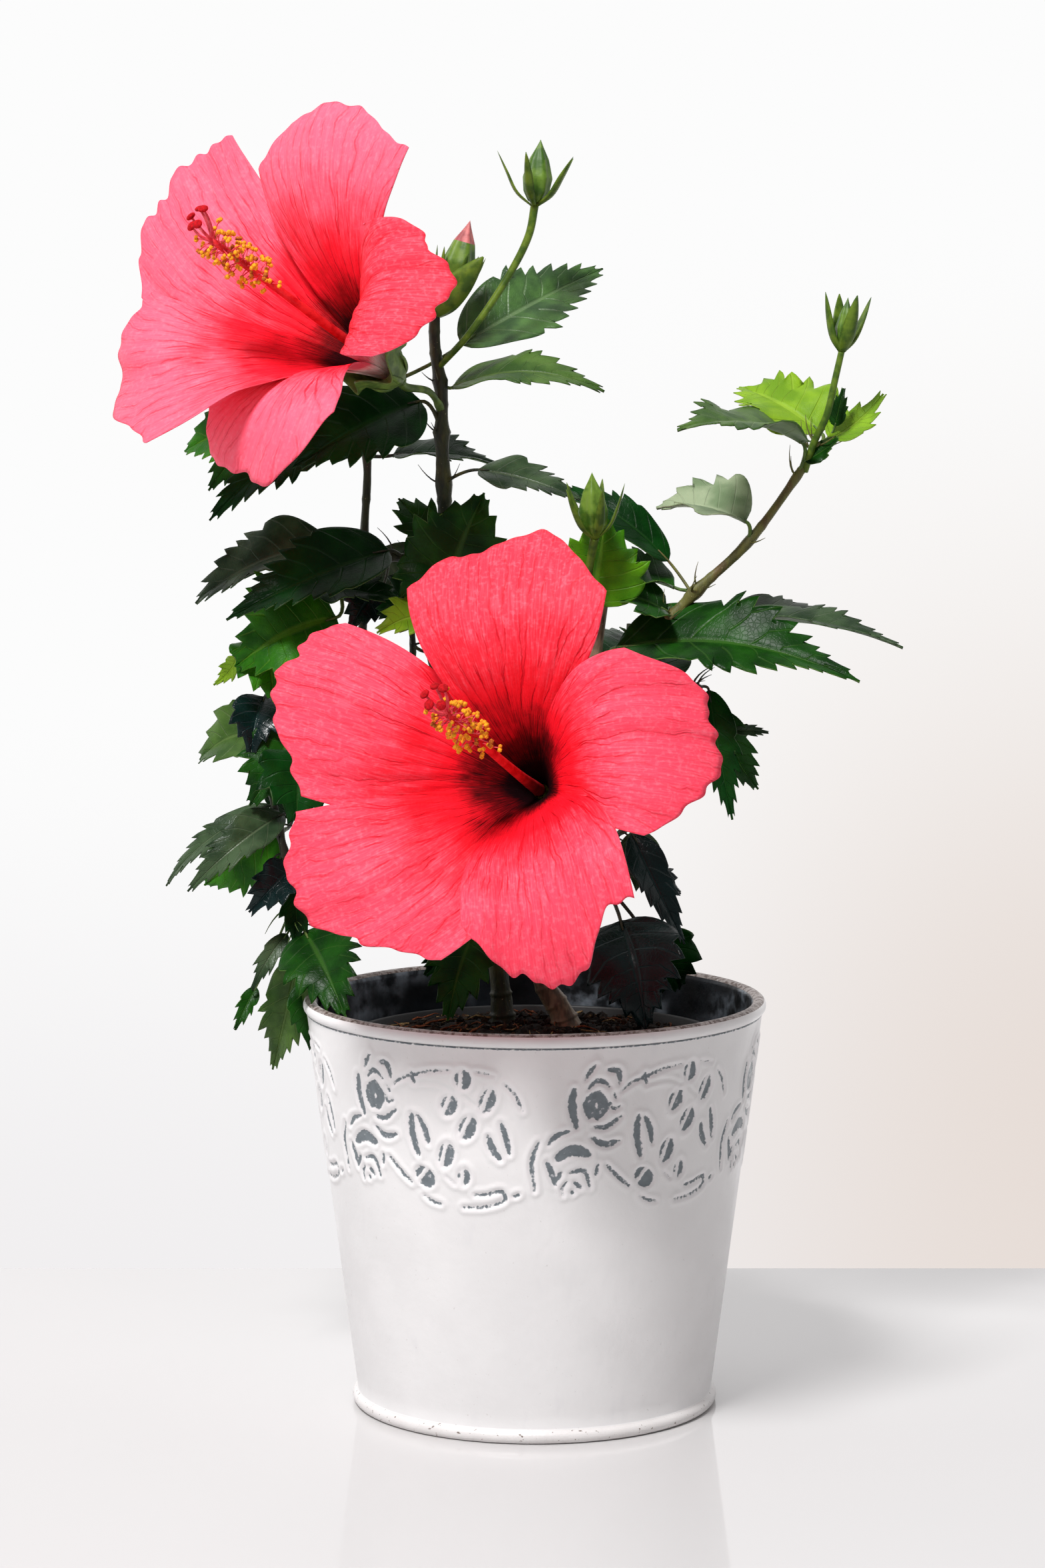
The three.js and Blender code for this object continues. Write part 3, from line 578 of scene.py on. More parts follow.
LEAF_PAIRS = [
    (3.1, 1.6, [(15.0, 112.9), (14.9, 106.1), (16.7, 98.9)]),
    (2.7, 1.1, [(17.3, 112.7), (19.9, 107.7), (21.0, 102.9)]),
    (2.9, 1.2, [(42.2, 107.2), (43.3, 103.1), (46.1, 99.0)]),
    (2.5, 1.0, [(46.4, 111.9), (47.9, 107.2), (49.1, 101.0)]),
]
# Split berries: centre, half length, half width and the lean of the split from upright, in degrees.
BERRIES = [
    (34.4, 126.2, 3.6, 3.0, 6), (42.3, 119.3, 4.6, 2.7, 22), (29.2, 117.0, 4.0, 3.0, 24),
    (35.2, 109.6, 4.6, 3.1, 28), (27.2, 99.8, 4.6, 3.0, 18), (18.7, 91.5, 3.4, 4.3, 40),
    (33.3, 92.7, 3.2, 2.4, 8),
]
FAINT_BRANCHES = [
    (0.8, 0.5, [(16.8, 123.7), (25.3, 124.3), (31.0, 122.2)]), (0.8, 0.5, [(34.4, 120.6), (38.1, 117.4)]),
]
PAINTED = ROSE_HIGH + ROSE_LOW + STEMS + LEAF_PAIRS
print("one repeat:", REPEAT_LENGTH, "mm long,", len(PAINTED), "strokes and", len(BERRIES), "berries")

# %% Distance to the nearest mark
NO_MARK = 6.0                         # a distance that counts as far from every mark
STROKE_STEPS = 26
SPLIT = 0.5


def band_places(points):
    """For points of the wall: the length along the repeat, and the height."""
    turn = np.arctan2(points[:, 0], -points[:, 1]) - math.radians(FIRST_ROSE)
    return np.column_stack([BAND_RADIUS * turn, points[:, 2]])


def from_place(places, place):
    """Offsets from a place to each band place, the short way round the repeat."""
    offset = places - place
    offset[:, 0] = (offset[:, 0] + REPEAT_LENGTH / 2) % REPEAT_LENGTH - REPEAT_LENGTH / 2
    return offset


def stroke_distance(places, strokes):
    nearest = np.full(len(places), NO_MARK)
    for thick, ends, through in strokes:
        steps = np.linspace(0, 1, STROKE_STEPS)
        path = smooth_path([(length, height, 0) for length, height in through], steps)[:, :2]
        swell = np.sin(np.linspace(0, math.pi, STROKE_STEPS)) ** 0.6
        middle = path.mean(axis=0)
        reach = np.abs(path - middle).max() + NO_MARK / 2 + thick
        near = np.flatnonzero(np.abs(from_place(places, middle)).max(axis=1) < reach)
        for disc, size in zip(path, (ends + (thick - ends) * swell) / 2):
            distance = np.linalg.norm(from_place(places[near], disc), axis=1) - size
            nearest[near] = np.minimum(nearest[near], distance)
    return nearest


def berry_distance(places):
    nearest = np.full(len(places), NO_MARK)
    for length, height, half_long, half_wide, lean in BERRIES:
        offset = from_place(places, (length, height))
        lean = math.radians(lean)
        up = offset @ (math.sin(lean), math.cos(lean))
        over = offset @ (math.cos(lean), -math.sin(lean))
        oval = (np.hypot(up / half_long, over / half_wide) - 1) * half_wide
        nearest = np.minimum(nearest, np.maximum(oval, SPLIT - np.abs(over + 0.3 * half_wide)))
    return nearest


print("a place far from the band is", NO_MARK, "mm from a mark")

# %% Press the marks into the wall
RECESS = 0.3
LIP = 0.42
RIM_LINE_MARK = -0.45                 # as if this deep inside a mark, so that it takes the marks' blue-grey colour
SKIN = 0.3                            # points less deep than this are on the outside of the wall

mark_layer = pot_form.verts.layers.float.new("mark")
band_points = [
    point for point in pot_form.verts
    if BAND_LOW < point.co.z < BAND_HIGH and math.hypot(*point.co.xy) > wall_radius(point.co.z) - SKIN
]
for point in pot_form.verts:
    outside = math.hypot(*point.co.xy) > wall_radius(RIM_LINE) - SKIN
    on_rim_line = outside and RIM_LINE - 0.1 < point.co.z < RIM_LINE_TOP + 0.1
    point[mark_layer] = RIM_LINE_MARK if on_rim_line else NO_MARK
places = np.array([point.co for point in band_points])
band = band_places(places)
painted = np.minimum(stroke_distance(band, PAINTED), berry_distance(band))
faint = stroke_distance(band, FAINT_BRANCHES)
nearest = np.minimum(painted, faint)
sink = np.clip(0.5 - nearest / 0.7, 0, 1)
lip = np.exp(-((nearest - 1.0) / 0.75) ** 2)
stands_out = LIP * lip - RECESS * sink
outward = unit(places * (1, 1, 0))
for point, out, rise, distance in zip(band_points, outward, stands_out, painted):
    point.co += Vector(out * rise)
    point[mark_layer] = distance
print("embossed", len(band_points), "points, from", stands_out.min(), "to", stands_out.max(), "mm")

# %% [markdown]
# ## Pot finishes
#
# The outside is zinc under a thin chalky whitewash, slightly blotched, with blue-grey paint in the marks.
# The top of the rim is worn to brown-grey metal, and a thin blue-grey line runs under its roll. The
# inside is dark zinc with the large, faint crystals of galvanizing, and the bead at the foot has small
# dark chips. They are four finishes of one shell, dealt out by where a face is.

# %% Pot finishes
def whitewash_finish():
    wash = Finish("whitewashed_zinc", 0.38, Metallic=0.0, Specular_IOR_Level=0.5)
    blotches = wash.fade(wash.noise(26, 4), 0.35, 0.68)
    base = wash.mix(blotches, tint(228, 226, 226), tint(233, 231, 231))
    smears = wash.fade(wash.noise(9, 3, (1, 1, 0.35)), 0.6, 0.78, 0, 0.18)
    base = wash.mix(smears, base, tint(205, 203, 208))
    base = wash.mix(wash.fade(wash.noise(1.1, 2), 0.72, 0.77, 0, 0.3), base, tint(170, 162, 158))
    mark = wash.attribute("mark")
    ragged = wash.sum("ADD", mark, wash.sum("MULTIPLY", wash.sum("SUBTRACT", wash.noise(1.2, 3), 0.5), 1.6))
    # Painted highlight: the wash turns lighter on the raised lip round each mark.
    glow = wash.fade(mark, 0.3, 1.6, 0.75, 0)
    base = wash.mix(glow, base, tint(233, 230, 231))
    ink = wash.mix(wash.noise(2.2, 3), tint(88, 97, 103), tint(126, 134, 139))
    worn = wash.mix(wash.fade(wash.noise(1.6, 3), 0.62, 0.7, 0, 0.8), ink, tint(190, 190, 194))
    wash.colour(wash.mix(wash.fade(ragged, -0.05, -0.45), base, worn))
    wash.gloss(wash.fade(wash.noise(12, 3), 0.3, 0.7, 0.32, 0.46))
    wash.relief(wash.noise(3.5, 3), 0.12)
    return wash.material


def rim_finish():
    rim = Finish("worn_rim", 0.45, Metallic=0.2)
    worn = rim.mix(rim.fade(rim.noise(1.6, 4), 0.4, 0.6), tint(168, 160, 156), tint(92, 74, 66))
    rim.colour(rim.mix(rim.fade(rim.noise(0.8, 3), 0.58, 0.68, 0, 0.8), worn, tint(206, 202, 202)))
    rim.relief(rim.noise(0.8, 2), 0.1)
    return rim.material


def inside_finish():
    bare = Finish("galvanized_inside", 0.42, Metallic=0.6)
    crystals = bare.mix(bare.fade(bare.noise(12, 4), 0.36, 0.68), tint(8, 11, 14), tint(26, 32, 38))
    cloud, speckle = bare.fade(bare.noise(34, 2), 0.43, 0.6), bare.fade(bare.noise(7, 5), 0.38, 0.7)
    bare.colour(bare.mix(bare.sum("MULTIPLY", cloud, speckle), crystals, tint(142, 153, 164)))
    bare.gloss(bare.fade(bare.noise(5, 3), 0.3, 0.7, 0.3, 0.55))
    bare.relief(bare.noise(1.5, 3), 0.08)
    return bare.material


def bead_finish():
    bead = Finish("chipped_bead", 0.4)
    wash = bead.mix(bead.noise(12, 3), tint(214, 209, 208), tint(230, 227, 226))
    bead.colour(bead.mix(bead.fade(bead.noise(1.3, 3), 0.66, 0.7, 0, 0.9), wash, tint(116, 100, 90)))
    bead.relief(bead.noise(0.9, 2), 0.1)
    return bead.material


pot_finishes = [whitewash_finish(), rim_finish(), inside_finish(), bead_finish()]
print("pot finishes:", ", ".join(finish.name for finish in pot_finishes))

# %% Deal the finishes out
WASH, RIM, INSIDE, BEAD = range(4)
for face in pot_form.faces:
    middle = face.calc_center_median()
    radius = math.hypot(middle.x, middle.y)
    if middle.z > POT_HEIGHT - 0.9 and radius > ROLL_CENTRE[0] - RIM_ROLL + 0.05:
        face.material_index = RIM
    elif middle.z < BEAD_HEIGHT + 0.3 and radius > WALL_FOOT[0] - 3:
        face.material_index = BEAD
    else:
        inner = radius < wall_radius(middle.z) - 0.8 or radius < ROLL_CENTRE[0] and middle.z > WALL_TOP[1]
        face.material_index = INSIDE if inner and middle.z > 1 else WASH
finish_piece("pot_shell", pot_form, pot_finishes, ["pot"])

# %% [markdown]
# ## Liner and soil
#
# The plant grew up in a thin dark plastic pot, which now stands inside the zinc one and ends below its
# rim. Its soil is a low mound of peat round the stems. A smooth mound looks like clay, so its surface
# gets lumps from layered noise, and then crumbs and fibres lie on it. A crumb is an icosphere of twenty
# faces with its corners pushed about, because hundreds of them have to stay light.

# %% Liner
LINER_RADIUS = 66
LINER_FOOT_RADIUS = 50
LINER_TOP = 128
LINER_WALL = 1.3
LINER_FOOT = 1.8
LINER_STEPS = 128


def liner_finish():
    plastic = Finish("dark_plastic", 0.5)
    plastic.colour(plastic.mix(plastic.noise(6), tint(24, 25, 26), tint(38, 38, 39)))
    plastic.relief(plastic.noise(0.6), 0.05)
    return plastic.material


liner_form = bmesh.new()
turned(liner_form, [
    (0, LINER_FOOT), (LINER_FOOT_RADIUS, LINER_FOOT), (LINER_RADIUS - 1, LINER_TOP - 6),
    (LINER_RADIUS, LINER_TOP - 5), *arc((LINER_RADIUS - 0.6, LINER_TOP - 0.6), 0.6, 0, 180, 5),
    (LINER_RADIUS - LINER_WALL - 1, LINER_TOP - 6), (LINER_FOOT_RADIUS - LINER_WALL, LINER_FOOT + LINER_WALL),
    (0, LINER_FOOT + LINER_WALL),
], LINER_STEPS)
finish_piece("liner_shell", liner_form, [liner_finish()], ["liner_pot"])

# %% Soil mound
SOIL_TOP = 133
SOIL_EDGE = 126
SOIL_CROWN_RADIUS = 24
SOIL_RADIUS = LINER_RADIUS - LINER_WALL - 2.2
SOIL_FOOT = 3.4
SOIL_FOOT_RADIUS = 47
MOUND_COLUMNS, MOUND_ROWS = 110, 60
MOUND_BRIM = 0.86                     # the share of the rows that lie on the mound's top
WAVES = 9


def lumps(x, y, grain, seed):
    """Smooth bumps between -1 and 1: a sum of waves in seeded directions."""
    luck = random.Random(seed)
    total = np.zeros_like(x)
    for _ in range(WAVES):
        turn = luck.uniform(0, 2 * math.pi)
        pace = 2 * math.pi / (grain * luck.uniform(0.6, 1.7))
        total += np.sin(pace * (x * math.cos(turn) + y * math.sin(turn)) + luck.uniform(0, 6.3))
    return total / 4


def mound_height(x, y):
    radius = np.hypot(x, y)
    slope = np.interp(radius, [0, SOIL_CROWN_RADIUS * 0.8, SOIL_CROWN_RADIUS * 1.6, SOIL_RADIUS],
                      [SOIL_TOP, SOIL_TOP - 0.5, SOIL_TOP - 4, SOIL_EDGE])
    return slope + 0.9 * lumps(x, y, 14, 1) + 0.5 * lumps(x, y, 5, 2) - 1


def mound_rule(across, along):
    turn = math.pi * across
    reach = np.minimum(along / MOUND_BRIM, 1) * SOIL_RADIUS
    down = np.clip((along - MOUND_BRIM) / 0.07, 0, 1)
    reach = reach + down * (SOIL_FOOT_RADIUS - SOIL_RADIUS) * (along > MOUND_BRIM)
    reach = np.where(along > 0.999, 0, reach)
    x, y = reach * np.cos(turn), reach * np.sin(turn)
    return np.column_stack([x, y, mound_height(x, y) * (1 - down) + SOIL_FOOT * down])


def soil_finish(name, dark, light):
    soil = Finish(name, 0.95, Specular_IOR_Level=0.2)
    soil.colour(soil.mix(soil.fade(soil.noise(1.6, 4), 0.4, 0.65), dark, light))
    soil.relief(soil.noise(0.9, 4), 0.6)
    return soil.material


soil_form = new_form()
closed_grid(soil_form, MOUND_COLUMNS, MOUND_ROWS, mound_rule)
finish_piece("soil_mound", soil_form, [soil_finish("peat", tint(14, 10, 8), tint(38, 27, 20))],
             ["potting_soil"])

# %% Crumbs on the soil
CRUMBS = 1500


def soil_place(luck):
    turn, reach = luck.uniform(0, 2 * math.pi), (SOIL_RADIUS - 3) * math.sqrt(luck.random())
    return reach * math.cos(turn), reach * math.sin(turn)


def soil_crumbs():
    luck = random.Random(41)
    form = new_form()
    for _ in range(CRUMBS):
        size = 0.5 + 1.5 * luck.random() ** 3
        x, y = soil_place(luck)
        points = bmesh.ops.create_icosphere(form, subdivisions=1, radius=size)["verts"]
        height = float(mound_height(np.array([x]), np.array([y]))[0]) + 0.3 * size
        look = luck.choice([0, 0, 1, 2])
        for point in points:
            point.co = Vector((x, y, height)) + point.co * luck.uniform(0.65, 1.2)
        for face in {face for point in points for face in point.link_faces}:
            face.material_index = look
    looks = [soil_finish("dark_crumb", tint(14, 10, 8), tint(34, 24, 17)),
             soil_finish("brown_crumb", tint(38, 25, 16), tint(60, 40, 25)),
             soil_finish("grey_crumb", tint(34, 30, 26), tint(60, 54, 47))]
    finish_piece("soil_crumbs", form, looks)


soil_crumbs()

# %% Fibres in the soil
FIBRES = 90


def soil_fibres():
    luck = random.Random(42)
    form = new_form()
    for _ in range(FIBRES):
        x, y = soil_place(luck)
        turn, length = luck.uniform(0, 2 * math.pi), luck.uniform(6, 22)
        steps = np.linspace(-0.5, 0.5, 7)
        bend = luck.uniform(-0.3, 0.3)
        along = np.column_stack([
            x + length * (steps * math.cos(turn) - bend * steps ** 2 * math.sin(turn)),
            y + length * (steps * math.sin(turn) + bend * steps ** 2 * math.cos(turn))])
        along *= np.minimum(1, (SOIL_RADIUS - 2) / np.hypot(*along.T))[:, None]
        height = mound_height(along[:, 0], along[:, 1]) + luck.uniform(0.4, 1.6)
        tube(form, np.column_stack([along, height]), np.linspace(0.45, 0.15, 7), 4, luck.choice([0, 1]))
    looks = [soil_finish("red_fibre", tint(92, 48, 28), tint(128, 72, 42)),
             soil_finish("straw_fibre", tint(100, 78, 50), tint(150, 124, 84))]
    finish_piece("soil_fibres", form, looks)


soil_fibres()

# %% [markdown]
# ## Bark
#
# Two stems carry the plant. The main stem is slim and dark olive, the woody stem is older, lighter and
# a little crooked, and both flare where they enter the soil. Thin boughs branch from them. Each is a
# tube whose radius tapers, and a relief of shallow ridges, lenticels and node rings makes it bark.

# %% Bark finishes
def bark_finish(name, dark, light, patch, patch_share=0.5):
    """Skin of a stem: streaks along it, a few lenticels and patches of another colour."""
    bark = Finish(name, 0.55, Specular_IOR_Level=0.35)
    base = bark.mix(bark.fade(bark.noise(2.2, 4, (1, 1, 0.3)), 0.35, 0.65), dark, light)
    base = bark.mix(bark.fade(bark.noise(7, 3, (1, 1, 0.4)), 0.5, 0.66, 0, patch_share), base, patch)
    dots = bark.fade(bark.noise(0.7, 1), 0.72, 0.78, 0, 0.6)
    bark.colour(bark.mix(dots, base, tint(172, 160, 128)))
    bark.relief(bark.noise(0.8, 4, (1, 1, 0.35)), 0.25)
    return bark.material


DARK_STEM = bark_finish("dark_stem", tint(22, 28, 16), tint(48, 52, 28), tint(88, 84, 40))
WOODY_STEM = bark_finish("woody_stem_bark", tint(84, 70, 54), tint(128, 110, 86), tint(70, 66, 44))
YOUNG_STEM = bark_finish("young_stem", tint(84, 84, 44), tint(104, 104, 50), tint(92, 54, 38))
GREEN_STEM = bark_finish("green_stem", tint(62, 84, 36), tint(88, 118, 50), tint(92, 74, 44), 0.3)
DARK_TWIG = bark_finish("dark_twig", tint(30, 34, 24), tint(52, 56, 34), tint(66, 50, 36))
print("five bark finishes")

# %% Places of the stems and boughs
STEM_START = SOIL_TOP - 5             # a stem starts this high, a little under the soil

LIMBS = {
    "main_stem": dict(points=[(-11, 10, STEM_START), (-12, 10, 145), (-17, 10, 187), (-25, 10, 242),
                              (-31, 10, 298)],
                      thick=(7.4, 4), flare=2.5, look=DARK_STEM, slot="bark"),
    "woody_stem": dict(points=[(12, 0, STEM_START), (9, 0, 137), (3, 0, 148), (5, 0, 183), (17, 0, 237),
                               (23, 0, 278)], thick=(8.5, 4.6), flare=3, look=WOODY_STEM, slot="bark"),
    "second_bough": dict(points=[(-18, 9, 199), (-33, 20, 224), (-52, 25, 246), (-60, 25, 267)],
                         thick=(3.8, 3.2), look=DARK_STEM, slot="young_bark"),
    "drooping_bough": dict(points=[(-14, 8, 174), (-36, 26, 204), (-50, 28, 229)],
                           thick=(3.6, 2.6), look=DARK_STEM, slot="young_bark"),
    "right_bough": dict(points=[(19, 0, 252), (32, 0, 263), (45, 0, 270.7)],
                        thick=(4.2, 3.7), look=YOUNG_STEM, slot="young_bark"),
}
print("limbs:", ", ".join(LIMBS))

# %% Grow the stems and boughs
LIMB_STEPS = 100
LIMB_SIDES = 20


def bark_relief(seed):
    """Ridges along a limb, broken into lengths, with a ring at each old leaf scar."""
    luck = random.Random(seed)
    turns = [luck.uniform(0, 6.3) for _ in range(4)]

    def relief(across, along):
        around = math.pi * across
        ridges = (0.05 * np.sin(3 * around + 9 * along + turns[0])
                  + 0.04 * np.sin(7 * around + turns[1] + 4 * along))
        knots = 0.05 * np.sin(41 * along + turns[2]) * np.sin(2 * around + turns[3])
        scars = 0.14 * np.exp(-((along * 9 + turns[0]) % 1 - 0.5) ** 2 / 0.004)
        return ridges + knots + scars

    return relief


def limb_piece(name, points, thick, look, slot, flare=0.0):
    along = np.linspace(0, 1, LIMB_STEPS)
    radii = np.interp(along, [0, 1], np.array(thick) / 2) + flare * np.exp(-14 * along)
    form = new_form()
    tube(form, smooth_path(points, along), radii, LIMB_SIDES, 0, bark_relief(len(name) + len(points)))
    finish_piece(name + "_bark", form, [look], [name])


for name, row in LIMBS.items():
    limb_piece(name, **row)

# %% [markdown]
# ## One leaf
#
# A hibiscus leaf is a broad blade that ends in a long point. Its margin is smooth near the stalk and has
# coarse hooked teeth further out. The blade folds a little along its midrib, arches, and its margins
# wave. The grid's rows are spent where the teeth are, five rows to a tooth: the margin swells and runs
# forward to the tooth's tip, then jumps back in. Between the veins the blade is quilted, so that it
# catches the light in small cushions, as a plain flat blade never does.

# %% Margin of a leaf
SMOOTH_SHARE = 0.4                    # of the blade, from its base, has no teeth
TOOTH_ROWS = ((0.0, 0.86, 0.0), (0.35, 0.97, 0.02), (0.62, 1.08, 0.12), (0.8, 1.17, 0.5), (0.93, 0.97, 0.2))
TOOTH_SPACING = 8.5
LEAF_COLUMNS = 14
SIDE_VEINS = 8
CUP = (0.14, 0.4)                     # how far the two halves fold up from the midrib
WAVE = (0.07, 0.18)                   # how far the margins wave
TWIST = 16                            # at most this many degrees from base to tip
SWAY = 0.05                           # at most this share of its length to one side


def blade_width(along):
    """Half width along the blade, as a share of the widest place."""
    return np.sin(math.pi * along ** 0.66) * (1 - 0.35 * along ** 3)


def blade_margin(teeth, luck):
    """Rows from base to tip: place along the blade, swell of the margin, and its run forward."""
    plain = round(2.6 * teeth)
    rows = [(SMOOTH_SHARE * row / plain, 1.0, 0.0) for row in range(plain)]
    starts = np.cumsum([0.0] + [luck.uniform(0.7, 1.3) for _ in range(teeth)])
    starts = SMOOTH_SHARE + (0.94 - SMOOTH_SHARE) * starts / starts[-1]
    for start, end in zip(starts, starts[1:]):
        depth = luck.uniform(0.55, 1.35)
        for place, swell, forward in TOOTH_ROWS:
            rows.append((start + place * (end - start), 1 + (swell - 1) * depth,
                         forward * depth * (end - start)))
    rows += [(0.955, 0.9, 0.0), (0.98, 0.85, 0.0), (1.0, 1.0, 0.0)]
    return np.array(rows)


print("a margin with six teeth has", len(blade_margin(6, random.Random(1))), "rows")

# %% Grow a leaf
def leaf_axes(reach, tilt, lean):
    """The chord, the upper face and the side of a leaf. Its face turns by tilt from up to the front."""
    chord = unit(reach)
    turn = math.radians(tilt)
    face = square_to(UP * math.cos(turn) + FRONT * math.sin(turn) + RIGHT * lean, chord)
    return chord, face, np.cross(chord, face)


def grow_leaf(blades, stalks, foot, base, reach, width, arch, tilt, lean, look, luck, stalk_look=0):
    """Adds a blade to one form and its stalk to another. Base and reach are counted from the foot."""
    start, tip = foot + np.array(base, float), foot + np.array(reach, float)
    chord, face, side = leaf_axes(tip - start, tilt, lean)
    crest = (start + tip) / 2 + face * 2 * arch
    blade_length = np.linalg.norm(tip - start)
    margin = blade_margin(int(np.clip(round(blade_length / TOOTH_SPACING), 3, 8)), luck)
    cup, wave = luck.uniform(*CUP), luck.uniform(*WAVE)
    twist = math.radians(luck.uniform(-TWIST, TWIST))
    sway, phase = luck.uniform(-SWAY, SWAY) * blade_length, luck.uniform(0, 6.3)
    quilt = min(0.5, width / 60)

    def spine(place):
        place = place[:, None]
        return (start * (1 - place) ** 2 + crest * 2 * place * (1 - place) + tip * place ** 2,
                unit((crest - start) * (1 - place) + (tip - crest) * place))

    def rule(across, along):
        row = np.rint(along * (len(margin) - 1)).astype(int)
        place, swell, forward = margin[row].T
        across = across * (1.25 - 0.25 * across ** 2)
        edge = np.abs(across)
        half = width / 2 * (blade_width(place) + 0.012) * (1 + (swell - 1) * edge ** 5)
        on_blade = place + forward * edge ** 5
        middle, heading = spine(np.minimum(on_blade, 1.02))
        normal = np.cross(side, heading)
        veins = SIDE_VEINS * place - 1.3 * edge
        lift = (half * edge * cup
                + half * wave * edge ** 2 * np.sin(13 * place + phase + 1.5 * across)
                + quilt * np.abs(np.sin(math.pi * veins)) ** 0.7
                * np.sin(math.pi * np.minimum(edge + 0.05, 1))
                - quilt * np.exp(-(across / 0.09) ** 2))
        roll = twist * place
        out = side * np.cos(roll)[:, None] + normal * np.sin(roll)[:, None]
        up = normal * np.cos(roll)[:, None] - side * np.sin(roll)[:, None]
        drift = side * (sway * np.sin(math.pi * place))[:, None]
        return middle + drift + out * (half * across)[:, None] + up * lift[:, None]

    shaped_grid(blades, LEAF_COLUMNS, len(margin) - 1, rule, look)
    elbow = start - unit(crest - start) * 0.4 * np.linalg.norm(start - foot)
    steps = np.linspace(0, 1, 8)[:, None]
    route = foot * (1 - steps) ** 2 + elbow * 2 * steps * (1 - steps) + start * steps ** 2
    route = np.vstack([route, spine(np.array([0.05, 0.1]))[0]])
    radii = np.interp(np.linspace(0, 1, 10), [0, 0.1, 0.75, 1], [1.1, 0.75, 0.65, 0.3])
    tube(stalks, route, radii * min(1, 0.5 + width / 60), 7, stalk_look)


print("a leaf has", LEAF_COLUMNS, "columns of faces")

# %% [markdown]
# ## Leaf finishes
#
# Mature leaves are a very dark green with a cold sheen, and young ones are bright. Some looks paint
# light into the base colour: leaves with light behind them glow yellow-green, one leaf in full light is
# a lighter green, and where a leaf mirrors the bright room at a glancing angle, its grey sheen is painted
# in as grey-green. The undersides are paler and duller. Each look is one base colour dealt out leaf by
# leaf. On top of it come thin pale veins: a midrib, and side veins that leave it at an angle.
# On the leaf's own map the distance to the nearest side vein is a zigzag of the place along the blade
# less the place across it, which is what `PINGPONG` draws.

# %% Leaf finishes
def leaf_finish(name, deep, light, vein, roughness, shine, vein_share=0.35):
    leaf = Finish(name, roughness, Specular_IOR_Level=shine)
    edge = leaf.sum("ABSOLUTE", leaf.sum("MULTIPLY_ADD", leaf.across, 2.0, -1.0))
    run = leaf.sum("SUBTRACT", leaf.sum("MULTIPLY", leaf.along, float(SIDE_VEINS)),
                   leaf.sum("MULTIPLY", edge, 1.3))
    side_vein = leaf.fade(leaf.sum("PINGPONG", run, 0.5), 0.07, 0.0)
    midrib = leaf.fade(edge, 0.075, 0.02)
    veins = leaf.sum("MAXIMUM", midrib, leaf.sum("MULTIPLY", side_vein, 0.7))
    base = leaf.mix(leaf.fade(leaf.noise(11, 3), 0.34, 0.68), deep, light)
    leaf.colour(leaf.mix(leaf.sum("MULTIPLY", veins, vein_share), base, vein))
    net = leaf.fade(leaf.cells(1.6), 0.0, 0.12)
    leaf.relief(leaf.sum("MULTIPLY_ADD", net, 0.08, leaf.sum("MULTIPLY", veins, -0.8)), 0.35)
    return leaf.material


LEAF_LOOKS = {
    "dark": ((3, 36, 6), (9, 56, 12), (38, 76, 32), 0.34, 0.1),
    "mid": ((9, 44, 6), (24, 72, 12), (68, 108, 42), 0.36, 0.12),
    "bright": ((24, 82, 4), (48, 114, 8), (106, 154, 42), 0.42, 0.15),
    # Painted light: a lighter green for the centre leaf in full light.
    "lit": ((54, 112, 8), (80, 138, 14), (128, 172, 54), 0.42, 0.15),
    # Painted light: the yellow-green glow of leaves with light behind them.
    "glow": ((98, 138, 16), (128, 166, 30), (160, 190, 66), 0.5, 0.2),
    "olive": ((42, 72, 22), (74, 104, 42), (106, 130, 70), 0.42, 0.2),
    # Painted sheen: grey-green where a mid-green leaf mirrors the bright room.
    "satin": ((44, 70, 38), (74, 110, 54), (122, 146, 104), 0.36, 0.25),
    # Painted sheen: grey-green where a dark leaf mirrors the bright room.
    "sheen": ((28, 48, 26), (62, 82, 54), (100, 114, 86), 0.36, 0.2),
    # Painted sheen: pale grey-green where a leaf seen nearly edge-on mirrors the bright room.
    "pale": ((106, 126, 92), (146, 160, 128), (172, 184, 152), 0.5, 0.2),
    "slate": ((2, 17, 17), (7, 33, 33), (30, 58, 58), 0.24, 0.25),
}
# The undersides of the glowing and sheened looks carry the same painted light, paler.
UNDERSIDES = {
    "dark": ((52, 78, 40), (70, 96, 52), (98, 118, 74)),
    "mid": ((62, 94, 38), (82, 116, 50), (112, 138, 76)),
    "bright": ((80, 128, 26), (106, 152, 40), (142, 176, 80)),
    "lit": ((86, 134, 28), (112, 156, 42), (146, 180, 82)),
    "glow": ((122, 156, 40), (146, 178, 60), (174, 198, 94)),
    "olive": ((60, 88, 40), (84, 112, 58), (112, 132, 82)),
    "satin": ((62, 94, 52), (84, 116, 66), (114, 138, 92)),
    "sheen": ((54, 76, 48), (80, 98, 68), (106, 120, 90)),
    "pale": ((110, 126, 92), (146, 158, 124), (168, 178, 146)),
    "slate": ((40, 50, 46), (60, 70, 64), (84, 94, 84)),
}
SHADED_LOOKS = ("dark", "slate", "sheen")
leaf_finishes = {}
for look, (deep, light, vein, roughness, shine) in LEAF_LOOKS.items():
    under = UNDERSIDES[look]
    leaf_finishes[look] = (
        leaf_finish(look + "_leaf", tint(*deep), tint(*light), tint(*vein), roughness, shine),
        leaf_finish(look + "_leaf_under", *(tint(*colour) for colour in under), 0.6, 0.15, 0.5),
    )
print("leaf looks:", ", ".join(leaf_finishes))

# %% [markdown]
# ## Masses of foliage
#
# Each mass is one twig with its leaves. A row gives where a leaf springs from the twig, where its blade
# begins and ends, counted from there, its width, arch, tilt and lean, and its look. On the sides
# that don't face the front the leaves follow a rule instead: they spring all along the twig, to both
# sides of a heading, by a seeded draw. Where a leaf leaves the twig there is a swollen node with a pair
# of hair-thin stipules.

